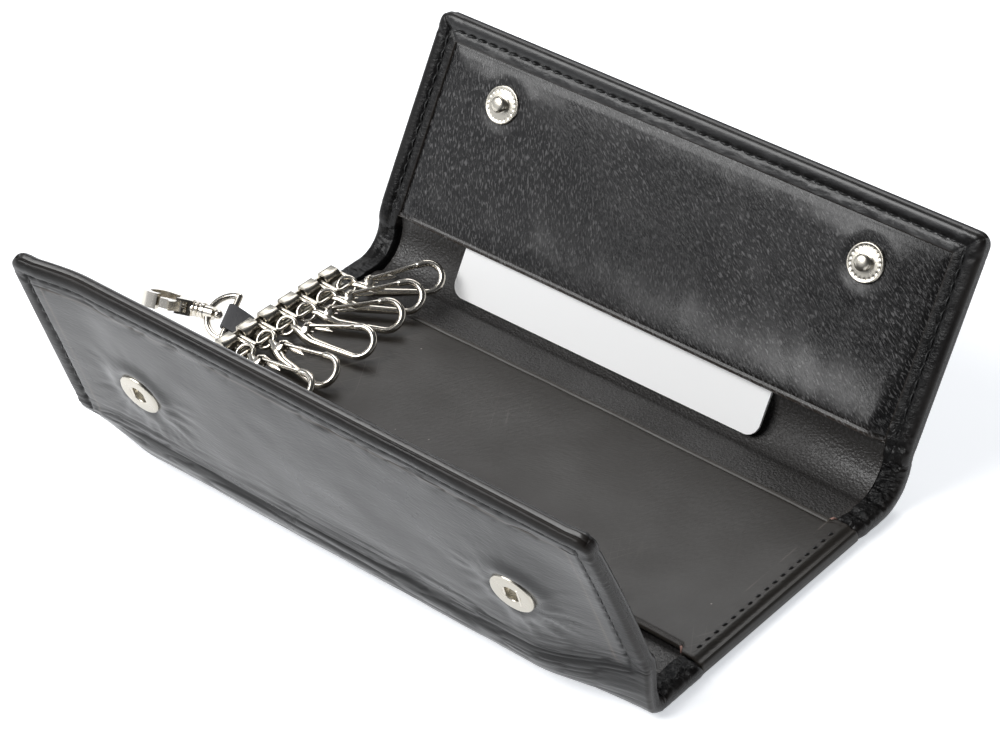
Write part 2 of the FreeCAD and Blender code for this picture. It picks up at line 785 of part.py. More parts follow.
inside_root_share = 0.5
lever_pivot = Vector(inside_start, claw_root_half_width, 0)
lever_low = -lever_thickness / 2
lever_tip = nose_centre - claw_wall / 2
mouth_start = inside_start - lever_hub_radius - lever_clearance
slot_low = lever_low - lever_clearance
claw = joined(
    tapered(neck_end - neck_groove, claw_root_half_width, claw_half_width, claw_low, -claw_low),
    Part.makeCylinder(neck_radius, neck_length, Vector(neck_start, 0, 0), X_AXIS),
)
groove_pitch = neck_length / 3
groove_places = [Vector(neck_start + groove_pitch * k, 0, 0) for k in (1, 2)]
grooves = [Part.makeTorus(neck_radius, neck_groove, spot, X_AXIS) for spot in groove_places]
cut_low = claw_low - overrun
mouth_out = claw_half_width + overrun
claw = claw.cut(grooves)
claw = claw.cut(
    [
        tapered(inside_start + claw_wall, claw_inside * inside_root_share, claw_inside, cut_low, -cut_low),
        block((inside_start + lever_hub_radius, 0, cut_low), (lever_tip, mouth_out, -cut_low)),
        block((mouth_start, -lever_clearance, slot_low), (lever_tip, mouth_out, -slot_low)),
        Part.makeCylinder(swivel_radius, neck_length / 2, Vector(neck_start, 0, 0), X_AXIS),
    ]
)
claw = joined(claw, disc(lever_pivot_radius, claw_low, -claw_low, lever_pivot.x, lever_pivot.y))

# Thumb lever: closes the claw's mouth and turns inwards on its pin against a spring beside its hub.
lever_reach = lever_tip - lever_clearance - lever_pivot.x


def lever_end(y):
    """Farthest place on the lever's tip that still swings past the end of the mouth."""
    return lever_pivot.x + math.sqrt(lever_reach ** 2 - (y - lever_pivot.y) ** 2)


lever_root_share = 0.55
thumb_u = inside_start + lever_hub_radius
lever_outline = [
    (lever_pivot.x, lever_pivot.y - lever_hub_radius * lever_root_share, lever_low),
    (lever_end(claw_inside), claw_inside, lever_low),
    (lever_end(claw_half_width), claw_half_width, lever_low),
    (thumb_u + lever_hub_radius, claw_half_width, lever_low),
    (thumb_u, claw_half_width + lever_thumb, lever_low),
    (thumb_u - lever_hub_radius * lever_root_share, claw_half_width, lever_low),
    (lever_pivot.x, lever_pivot.y + lever_hub_radius, lever_low),
]
hub_top = lever_low + lever_hub_thickness
coil_space = coil_radius + lever_coil_wire_radius + lever_clearance
leg_end = lever_pivot.x + lever_coil_leg + lever_clearance
clasp_lever = joined(
    extruded(lever_outline, (0, 0, lever_thickness)),
    disc(lever_hub_radius, lever_low, -lever_low, lever_pivot.x, lever_pivot.y),
).cut(
    [
        disc(lever_pivot_radius + pivot_clearance, claw_low, -claw_low, lever_pivot.x, lever_pivot.y),
        block(
            (lever_pivot.x - coil_space, lever_pivot.y - coil_space, hub_top),
            (leg_end, lever_pivot.y + coil_space, overrun - lever_low),
        ),
    ]
)
lever_coil_start = hub_top + lever_coil_lift + lever_coil_wire_radius
lever_spring = placed(
    torsion_spring(lever_coil_wire_radius, lever_coil_pitch, lever_coil_leg),
    Placement(Vector(lever_pivot.x, lever_pivot.y, lever_coil_start), Rotation(X_AXIS, right_angle)),
)

# Leather tab: its root lies under the left lip, beside a notch in the panel, and its end loops the ring.
loop_inside = ring_wire_radius + ring_clearance
loop_outside = loop_inside + tab_thickness
root_low = panel_level
root_high = panel_level + tab_thickness
root_out = -half_length
root_in = tab_root_length - half_length
tab_low = tab_middle - tab_width / 2
tab_high = tab_middle + tab_width / 2
loop_half_width = tab_width / 2


def rectangle(place, half_width, low, high):
    """A closed outline across the tab."""
    corners = [(-half_width, low), (half_width, low), (half_width, high), (-half_width, high)]
    points = [place.multVec(Vector(0, y, z)) for y, z in corners]
    return Part.makePolygon(points + points[:1])


root_place = Placement(Vector(root_out, tab_middle, 0), Rotation(Z_AXIS, half_turn))
tab_strip = Part.makeLoft(
    [
        rectangle(root_place, loop_half_width, root_low, root_high),
        rectangle(ring_place, loop_half_width, -loop_inside, loop_inside),
    ],
    True,
    True,
)
tab_loop = Part.makeCylinder(loop_outside, tab_width, Vector(0, -loop_half_width, 0), Y_AXIS)
loop_start = Vector(0, -loop_half_width - overrun, 0)
loop_bore = Part.makeCylinder(loop_inside, tab_width + 2 * overrun, loop_start, Y_AXIS)
clasp_tab = joined(
    tab_strip,
    placed(tab_loop, ring_place),
    block((root_out, tab_low, root_low), (root_in, tab_high, root_high)),
).cut(placed(loop_bore, ring_place))
notch_low = tab_low - tab_fit
notch_high = tab_high + tab_fit
notch_in = root_in + tab_fit
base_shell = base_shell.cut(
    block((root_out - overrun, notch_low, root_low), (notch_in, notch_high, root_high + board_clearance))
)
base_panel = base_panel.cut(block((root_out, notch_low, panel_level), (notch_in, notch_high, base_top)))

save("base_shell", base_shell)
save("base_board", base_board)
save("base_lining", base_lining)
save("base_panel", base_panel)
inner_level = shell_thickness + lining_thickness
front_fold_sizes = (front_fold_radius, base_front_reach, front_crease_height, front_flap_lean, -1)
rear_fold_sizes = (rear_fold_radius, base_rear_reach, rear_crease_height, rear_flap_lean, 1)
save("front_fold", fold_layer(*front_fold_sizes, 0, shell_thickness))
save("front_fold_lining", fold_layer(*front_fold_sizes, shell_thickness, inner_level))
save("rear_fold", fold_layer(*rear_fold_sizes, 0, shell_thickness))
save("rear_fold_lining", fold_layer(*rear_fold_sizes, shell_thickness, inner_level))
save("front_shell", placed(front_shell, front_place))
save("front_board", placed(front_board, front_place))
save("front_lining", placed(front_lining, front_place))
save("rear_shell", placed(rear_shell, rear_place))
save("rear_board", placed(rear_board, rear_place))
save("rear_lining", placed(rear_lining, rear_place))
save("pocket_panel", placed(pocket_panel, rear_place))
save("card", placed(card, rear_place))
save("snap_studs", *at_snaps(stud, stud_from_crease, rear_place))
save("stud_posts", *at_snaps(stud_post, stud_from_crease, rear_place))
save("snap_sockets", *at_snaps(socket, socket_from_crease, front_place))
save("socket_posts", *at_snaps(socket_post, socket_from_crease, front_place))
save("socket_wires", *[w for wire in socket_wires for w in at_snaps(wire, socket_from_crease, front_place)])
save("key_rail", key_rail)
save("rail_rivets", *rivets)
save("clasp_tab", clasp_tab)
save("clasp_ring", placed(clasp_ring, ring_place))
save("swivel_pin", placed(swivel_pin, ring_place))
save("clasp_claw", placed(claw, claw_place))
save("clasp_lever", placed(clasp_lever, claw_place))
save("lever_spring", placed(lever_spring, claw_place))
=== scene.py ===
import json
import math

import bmesh
import bpy
import numpy as np
from mathutils import Matrix, Vector


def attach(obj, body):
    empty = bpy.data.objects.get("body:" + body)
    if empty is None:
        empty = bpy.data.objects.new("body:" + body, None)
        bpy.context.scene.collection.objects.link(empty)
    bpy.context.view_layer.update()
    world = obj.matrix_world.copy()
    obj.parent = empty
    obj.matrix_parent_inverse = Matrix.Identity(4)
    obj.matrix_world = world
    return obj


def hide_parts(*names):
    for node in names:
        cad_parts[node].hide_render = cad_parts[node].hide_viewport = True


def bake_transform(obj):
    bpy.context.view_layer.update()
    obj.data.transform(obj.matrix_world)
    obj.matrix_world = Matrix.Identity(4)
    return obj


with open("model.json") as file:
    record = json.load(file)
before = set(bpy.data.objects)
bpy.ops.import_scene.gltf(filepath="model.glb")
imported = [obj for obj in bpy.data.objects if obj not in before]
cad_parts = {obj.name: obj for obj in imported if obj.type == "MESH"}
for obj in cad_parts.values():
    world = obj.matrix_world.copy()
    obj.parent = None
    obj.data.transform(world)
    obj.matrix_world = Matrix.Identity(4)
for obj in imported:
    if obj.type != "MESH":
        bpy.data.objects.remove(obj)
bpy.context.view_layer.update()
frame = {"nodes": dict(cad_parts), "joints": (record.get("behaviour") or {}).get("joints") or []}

# Outer leather: one long piece of smooth black cowhide, skived and turned in along its free edges over thin
# boards, then sewn. It makes the base, both round folds and both flaps. Lengths are in millimetres.
MM = 0.001
half_length = 73.5
base_seam = 28.6
base_narrowing = 0.6
fold_start = 38.2
board_depth = 1.6
fold_depth = 1.0
rim_width = 6.5
stitch_inset = 3.8
stitch_pitch = 3.1
corner_radius = 3.0
side_edge_radius = 0.85
top_edge_radius = 1.4
edge_groove = 0.6
right_end_from = 48.0
left_end_from = 55.0
end_to = 74.0
snap_place = 49.45
socket_height = 18.0

front_length = 49.4
front_lean = math.radians(18.3)
front_crease = (-49.4, 11.7)
front_fold_radius = 11.2
front_rim_depth = 2.9
front_seed = 11

rear_length = 49.8
rear_lean = math.radians(29.0)
rear_crease = (48.7, 11.0)
rear_fold_radius = 10.5
rear_rim_depth = 3.6
rear_seed = 31
gather_rise = 2.1
front_gather = -25.0
rear_gather = 29.2

leather_black = (0.0062, 0.006, 0.0061, 1)
leather_worn = (0.10, 0.078, 0.062, 1)


def eased(value, low, high):
    """0 below low, 1 above high and a smooth rise between them."""
    share = np.clip((value - low) / (high - low), 0, 1)
    return share * share * (3 - 2 * share)


def ruffle(x, y, size_x, size_y, seed):
    """Seeded soft unevenness between -1 and 1, with its own length in each direction."""
    cells = 64
    table = np.random.default_rng(seed).uniform(-1, 1, (cells, cells))
    column, row = np.floor(x / size_x), np.floor(y / size_y)
    across, along = x / size_x - column, y / size_y - row
    across = across ** 3 * (across * (6 * across - 15) + 10)
    along = along ** 3 * (along * (6 * along - 15) + 10)
    column, row = column.astype(int), row.astype(int)

    def corner(i, j):
        return table[(column + i) % cells, (row + j) % cells]

    near = corner(0, 0) * (1 - across) + corner(1, 0) * across
    far = corner(0, 1) * (1 - across) + corner(1, 1) * across
    return near * (1 - along) + far * along


def spaced(low, high, step, marks=()):
    """Rising places from low to high, no further apart than step, with the marked places among them."""
    stops = sorted({low, high, *[m for m in marks if low < m < high]})
    places = [low]
    for a, b in zip(stops, stops[1:]):
        places += list(np.linspace(a, b, max(2, math.ceil((b - a) / step) + 1))[1:])
    return np.array(places)


def grooves(x, y, size_x, size_y, seed, width=0.18):
    """Thin wandering grooves, 1 at their bottom, where a soft unevenness changes sign."""
    return np.clip(1 - np.abs(ruffle(x, y, size_x, size_y, seed)) / width, 0, 1)


def round_edge(distance, radius):
    """How far a face drops towards the middle of the leather near a rounded edge."""
    inside = np.clip(radius - distance, 0, radius)
    return radius - np.sqrt(radius ** 2 - inside ** 2)


def bell(distance, width, power=2):
    """1 at no distance, falling off to both sides over about the width."""
    return np.exp(-((distance / width) ** power))


def arch(share):
    """A round rise and fall while a share goes from 0 to 1."""
    return np.sin(math.pi * np.clip(share, 0, 1))


def unit(vector):
    """Directions with a length of 1."""
    return vector / np.linalg.norm(vector, axis=-1, keepdims=True)


edge_marks = [0.1, 0.3, 0.6, 1.0, 1.35, 1.7, 2.05, 2.4, 2.75, 3.1, 3.4, 3.6, 3.8, 4.0, 4.2, 4.5, 4.85, 5.2]
edge_marks += [5.5, 5.8, 6.1, 6.3, 6.5, 6.7, 7.2]


def both_ways(reach, step, marks):
    """Spaced places from -reach to reach, with each mark on both sides of the middle."""
    return spaced(-reach, reach, step, [*marks, *[-m for m in marks]])


case_columns = both_ways(half_length, 1.0, [half_length - m for m in edge_marks])


def curve(points, count):
    """Evenly spaced samples of a round curve through points."""
    points = np.array(points, float)
    ends = np.concatenate([[2 * points[0] - points[1]], points, [2 * points[-1] - points[-2]]])
    t = np.linspace(0, 1, 40)[:, None]
    parts = []
    for p, q, r, s in zip(ends, ends[1:], ends[2:], ends[3:]):
        bend = 2 * p - 5 * q + 4 * r - s
        parts.append((2 * q + (r - p) * t + bend * t ** 2 + (3 * q - p - 3 * r + s) * t ** 3) / 2)
    line = np.concatenate(parts)
    reach = np.concatenate([[0], np.cumsum(np.linalg.norm(np.diff(line, axis=0), axis=1))])
    even = np.linspace(0, reach[-1], count)
    return np.stack([np.interp(even, reach, line[:, k]) for k in range(points.shape[1])], -1)


class Strip:
    """The outer face of one half of the case, from the base over a fold to the free edge of a flap.

    Places on it are x along the fold and u, which counts 0 to 1 over the base, 1 to 2 round the fold and
    2 to 3 up the flap. Each end of the case may have its own profile.
    """

    samples = 100

    def __init__(self, side, length, rim_depth, seed, gather_from, plain, right=None, left=None):
        self.side = side
        self.length = length
        self.rim_depth = rim_depth
        self.seed = seed
        self.u = np.concatenate([[0], np.linspace(1, 2, self.samples), np.linspace(2, 3, self.samples)[1:]])
        self.plain = self.profile(*plain)
        self.right = self.profile(*(right or plain)) - self.plain
        self.left = self.profile(*(left or plain)) - self.plain
        steps = np.hypot(*np.diff(self.plain, axis=0).T)
        self.arc = np.concatenate([[0], np.cumsum(steps)])
        self.gather_arc = abs(gather_from - base_seam)
        self.gather_u = self.gather_arc / abs(fold_start * side - base_seam)
        self.crease_arc = self.arc_at(2)

    def profile(self, fold_points, flap_points):
        fold = curve(fold_points, self.samples)
        flap = curve(flap_points, self.samples)[1:]
        line = np.concatenate([[[base_seam, 0]], fold, flap])
        for _ in range(3):
            line[2:-2] = (line[1:-3] + 2 * line[2:-2] + line[3:-1]) / 4
        return line

    def at(self, u, x):
        """Points of the outer face."""
        to_right, to_left = eased(x, right_end_from, end_to), eased(-x, left_end_from, end_to)
        yz = [
            np.interp(u, self.u, self.plain[:, k])
            + to_right * np.interp(u, self.u, self.right[:, k])
            + to_left * np.interp(u, self.u, self.left[:, k])
            for k in (0, 1)
        ]
        return np.stack([x, *yz], -1)

    def inward(self, u, x):
        """Unit directions from the outer face into the leather."""
        du, dx = 0.01, 0.2
        along = self.at(np.minimum(u + du, 3), x) - self.at(np.maximum(u - du, 0), x)
        across = self.at(u, x + dx) - self.at(u, x - dx)
        return unit(self.side * np.cross(across, along))

    def point(self, u, x, depth):
        """Points at a depth below the outer face."""
        return self.at(u, x) + self.inward(u, x) * np.asarray(depth)[..., None]

    def flap_u(self, t):
        """The u of a height on the flap above its crease."""
        return 2 + np.asarray(t) / self.length

    def arc_at(self, u):
        """Length along the outer face from the seam in the base."""
        return np.interp(u, self.u, self.arc)


def fold_arc(sign, radius):
    """A quarter turn from the table up to the crease."""
    return [
        (sign * (fold_start + radius * math.sin(a)), radius * (1 - math.cos(a)))
        for a in np.linspace(0, math.pi / 2, 9)
    ]


def flap_line(sign, crease, length, lean):
    """The straight outer face of a flap, from its crease to its free edge."""
    return [
        (crease[0] + sign * length * share * math.sin(lean), crease[1] + length * share * math.cos(lean))
        for share in (0, 0.5, 1)
    ]


front_plain = (
    fold_arc(-1, front_fold_radius) + [front_crease],
    flap_line(-1, front_crease, front_length, front_lean),
)
front_right = (
    [(-fold_start, 0), (-41.4, 1.9), (-42.9, 6.5), (-43.4, 10.5), (-43.7, 14.0)],
    [(-43.7, 14.0), (-53.6, 35.7), (-64.6, 57.8)],
)
front_left = (
    [(-fold_start, 0), (-41.5, 2.4), (-46.3, 6.8), (-50.8, 11.8)],
    [(-50.8, 11.8), (-58.8, 34.8), (-66.8, 58.1)],
)
rear_plain = (
    fold_arc(1, rear_fold_radius) + [rear_crease],
    flap_line(1, rear_crease, rear_length, rear_lean),
)
front_strip = Strip(
    -1, front_length, front_rim_depth, front_seed, front_gather, front_plain, front_right, front_left
)
rear_strip = Strip(1, rear_length, rear_rim_depth, rear_seed, rear_gather, rear_plain)


def make_piece(name, mesh, material):
    """A smooth-shaded object in the scene from a mesh."""
    mesh.polygons.foreach_set("use_smooth", np.ones(len(mesh.polygons), bool))
    mesh.materials.append(material)
    piece = bpy.data.objects.new(name, mesh)
    bpy.context.scene.collection.objects.link(piece)
    return piece


def keep(mesh, name, values):
    """Stores a number or a place for each point, where the materials find it."""
    kind, field = ("FLOAT_VECTOR", "vector") if values.ndim > 1 else ("FLOAT", "value")
    mesh.attributes.new(name, kind, "POINT").data.foreach_set(field, values.astype(np.float32).ravel())


def hide_place(x, y):
    """Where in a flat hide, in millimetres, the leather of a piece is cut from."""
    return np.stack([x, y, np.zeros_like(x)], -1)


far_side = np.array((0.0, 0.31, 0.17))


def leather_mesh(name, outer, inner, place, rub, material, crumple=0.0, dull=(0.0, 0.0)):
    """A closed piece from two matching grids of points, joined round their borders.

    place is where the hide was cut, rub how far the dye has gone, crumple how far the inner face is crushed
    and dull how little polish the outer and the inner face have.
    """
    rows, columns = outer.shape[:2]
    count = rows * columns
    index = np.arange(count).reshape(rows, columns)
    top = np.stack([index[:-1, :-1], index[:-1, 1:], index[1:, 1:], index[1:, :-1]], -1).reshape(-1, 4)
    border = np.concatenate([index[0, :-1], index[:-1, -1], index[-1, :0:-1], index[:0:-1, 0]])
    after = np.roll(border, -1)
    sides = np.stack([border, border + count, after + count, after], -1)
    faces = np.concatenate([top, top[:, ::-1] + count, sides])
    points = np.concatenate([outer.reshape(-1, 3), inner.reshape(-1, 3)]) * MM
    mesh = bpy.data.meshes.new(name)
    mesh.from_pydata(points.tolist(), [], faces.tolist())
    middle = points.reshape(2, -1, 3).mean(1)
    if mesh.polygons[len(top) // 2].normal.dot(Vector(middle[1] - middle[0])) > 0:
        mesh.flip_normals()
    places = place.reshape(-1, 3) * MM
    keep(mesh, "flat", np.concatenate([places, places + far_side]))
    for key, both in (("rub", (rub, rub)), ("crumple", (0.0, crumple)), ("dull", dull)):
        keep(mesh, key, np.concatenate([np.broadcast_to(face, (rows, columns)).ravel() for face in both]))
    return make_piece(name, mesh, material)


def feed(tree, made, inputs):
    """Sets inputs of a shader node, to values or to links from other nodes' outputs."""
    for key, value in inputs.items():
        if isinstance(value, bpy.types.NodeSocket):
            tree.links.new(value, made.inputs[key])
        else:
            made.inputs[key].default_value = value


def node(tree, kind, inputs=None, **settings):
    """A new shader node with its settings and inputs."""
    made = tree.nodes.new(kind)
    for key, value in settings.items():
        setattr(made, key, value)
    feed(tree, made, inputs or {})
    return made


def math_node(tree, operation, a, b=0.5):
    return node(tree, "ShaderNodeMath", {0: a, 1: b}, operation=operation).outputs[0]


def smooth_range(tree, value, low, high, from_value=0.0, to_value=1.0):
    """A value eased from one level to another while the input rises from low to high."""
    ends = {"Value": value, "From Min": low, "From Max": high, "To Min": from_value, "To Max": to_value}
    return node(tree, "ShaderNodeMapRange", ends, interpolation_type="SMOOTHSTEP").outputs[0]


def mix(tree, share, first, second):
    return node(tree, "ShaderNodeMix", {0: share, 2: first, 3: second}, data_type="FLOAT").outputs[0]


def mix_colour(tree, share, first, second):
    return node(tree, "ShaderNodeMix", {0: share, 6: first, 7: second}, data_type="RGBA").outputs[2]


def noise(tree, place, scale, detail, distortion=0.0):
    inputs = {"Vector": place, "Scale": scale, "Detail": detail, "Distortion": distortion}
    return node(tree, "ShaderNodeTexNoise", inputs).outputs["Fac"]


def kept(tree, name, output="Fac"):
    """What keep() stored for the points of a mesh."""
    return node(tree, "ShaderNodeAttribute", attribute_name=name).outputs[output]


def from_middle(tree, value):
    """How far a noise is from its middle level, 0 along thin wandering lines."""
    return math_node(tree, "ABSOLUTE", math_node(tree, "SUBTRACT", value, 0.5))


def drawn_out(tree, place, angle, stretch):
    """Places turned and stretched, so that marks made from them run in one direction."""
    turned = node(tree, "ShaderNodeVectorRotate", {"Vector": place, "Angle": angle}, rotation_type="Z_AXIS")
    drawn = node(tree, "ShaderNodeVectorMath", {0: turned.outputs[0], 1: stretch}, operation="MULTIPLY")
    return drawn.outputs[0]


def drawn_grain(group, place, angle, inside):
    """Pebbles and short ridges drawn out in one direction: the pebbles' height and the ridges' mask."""
    drawn = drawn_out(group, place, angle, inside["Stretch"])
    pebble = node(group, "ShaderNodeTexVoronoi", {"Vector": drawn, "Scale": inside["Pebble"]})
    wander = noise(group, drawn, inside["Crease"], 2.0, 0.5)
    return pebble.outputs["Distance"], smooth_range(group, wander, 0.51, 0.63)


def leather_grain():
    """Pebbles, creases and broad patches of finished hide, and the sharp crumples of gathered places."""
    group = bpy.data.node_groups.new("leather grain", "ShaderNodeTree")
    for name in ("Pebble", "Crease", "First Turn", "Second Turn", "Crease Share"):
        group.interface.new_socket(name, in_out="INPUT", socket_type="NodeSocketFloat")
    group.interface.new_socket("Stretch", in_out="INPUT", socket_type="NodeSocketVector")
    for name in ("Height", "Ridge", "Patch"):
        group.interface.new_socket(name, in_out="OUTPUT", socket_type="NodeSocketFloat")
    inside = node(group, "NodeGroupInput").outputs
    flat = kept(group, "flat", "Vector")
    patch = noise(group, flat, 55.0, 4.0)
    first_pebble, first = drawn_grain(group, flat, inside["First Turn"], inside)
    second_pebble, second = drawn_grain(group, flat, inside["Second Turn"], inside)
    choice = smooth_range(group, noise(group, flat, 16.0, 1.0), 0.44, 0.56)
    lines = mix(group, choice, first, second)
    pebble = mix(group, choice, first_pebble, second_pebble)
    busy = smooth_range(group, patch, 0.36, 0.62, 0.6, 1.0)
    ridge = math_node(group, "MULTIPLY", lines, math_node(group, "MULTIPLY", busy, inside["Crease Share"]))
    fine = math_node(group, "MULTIPLY", pebble, -0.75)
    fold = from_middle(group, noise(group, flat, 800.0, 2.0, 1.2))
    crushing = math_node(group, "MULTIPLY", kept(group, "crumple"), math_node(group, "MULTIPLY", fold, -14.0))
    height = math_node(group, "ADD", math_node(group, "ADD", ridge, fine), crushing)
    node(group, "NodeGroupOutput", {"Height": height, "Ridge": ridge, "Patch": patch})
    return group


def plain_finish(name, inputs):
    """A material whose shader has the given inputs."""
    material = bpy.data.materials.new(name)
    material.use_nodes = True
    feed(material.node_tree, material.node_tree.nodes["Principled BSDF"], inputs)
    return material


grain = leather_grain()
grain_height = 0.00015
# Pale grey painted into the colour along the grain's ridges, as a highlight.
ridge_highlight_colour = (0.25, 0.245, 0.245, 1)


def leather(
    name, colour, rough, pebble, crease, stretch, turns, crease_share, bump,
    worn=leather_worn, painted_highlight=0.0, coat=0.0, gloss=0.5, patchy=0.12, coat_rough=0.22,
):
    """A leather finish: dyed hide with grain, rubbed edges, a highlight painted pale along the grain's ridges
    and a polish that varies over the surface.
    """
    material = plain_finish(name, {"Coat Roughness": coat_rough, "Specular IOR Level": gloss})
    tree = material.node_tree
    marks = {"Pebble": pebble, "Crease": crease, "Stretch": stretch, "Crease Share": crease_share}
    marks["First Turn"], marks["Second Turn"] = turns
    hide = node(tree, "ShaderNodeGroup", marks, node_tree=grain).outputs
    blotch = math_node(tree, "MULTIPLY", kept(tree, "rub"), hide["Patch"])
    # Painted highlight: along the grain's ridges the colour is lightened towards the pale grey, as far as the
    # highlight share given.
    highlight_share = math_node(tree, "MULTIPLY", hide["Ridge"], painted_highlight)
    relief = {"Strength": bump, "Distance": grain_height, "Height": hide["Height"]}
    inputs = {
        "Base Color": mix_colour(tree, highlight_share, mix_colour(tree, blotch, colour, worn), ridge_highlight_colour),
        "Roughness": smooth_range(tree, hide["Patch"], 0.3, 0.7, rough - patchy, rough + patchy),
        "Normal": node(tree, "ShaderNodeBump", relief).outputs[0],
        "Coat Weight": smooth_range(tree, kept(tree, "dull"), 0.0, 1.0, coat, 0.0),
    }
    feed(tree, tree.nodes["Principled BSDF"], inputs)
    return material


outer_leather = leather(
    "outer leather", leather_black, rough=0.34, pebble=1900.0, crease=700.0, stretch=(0.3, 1.0, 1.0),
    turns=(0.12, -0.2), crease_share=-0.2, bump=0.35, coat=0.60, gloss=0.19, patchy=0.08, coat_rough=0.30,
)


def flap_plan(x, t, length):
    """Moves places near a flap's two free corners inward, so that the corners are round."""
    p = np.clip((np.abs(x) - half_length + corner_radius) / corner_radius, 0, 1)
    q = np.clip((t - length + corner_radius) / corner_radius, 0, 1)
    reach = np.hypot(p, q)
    pull = np.where(reach > 0, np.maximum(p, q) / np.where(reach > 0, reach, 1), 1)
    x = np.where(p > 0, np.sign(x) * (half_length - corner_radius + p * pull * corner_radius), x)
    t = np.where(q > 0, length - corner_radius + q * pull * corner_radius, t)
    return x, t


def stitch_dent(along, across, sigma=0.5):
    """The narrow groove that tight thread pulls into the leather, deepest at each needle hole."""
    holes = 0.65 + 0.35 * np.cos(2 * math.pi * along / stitch_pitch)
    return bell(across, sigma) * holes


def socket_bed(x, t):
    """How far the leather of the front flap stands up, and creases, round its two pressed-in sockets."""
    away = np.hypot(np.abs(x) - snap_place, t - socket_height)
    turn = np.arctan2(t - socket_height, np.abs(x) - snap_place)
    bulge = 0.6 * bell(away - 6.8, 2.1) * (1 + 0.35 * np.sin(turn))
    ray = ruffle(turn * 9, away, 1, 7, 17) * bell(away - 10, 4.5) * (0.6 - 0.4 * np.sin(turn))
    return bulge + 0.3 * ray


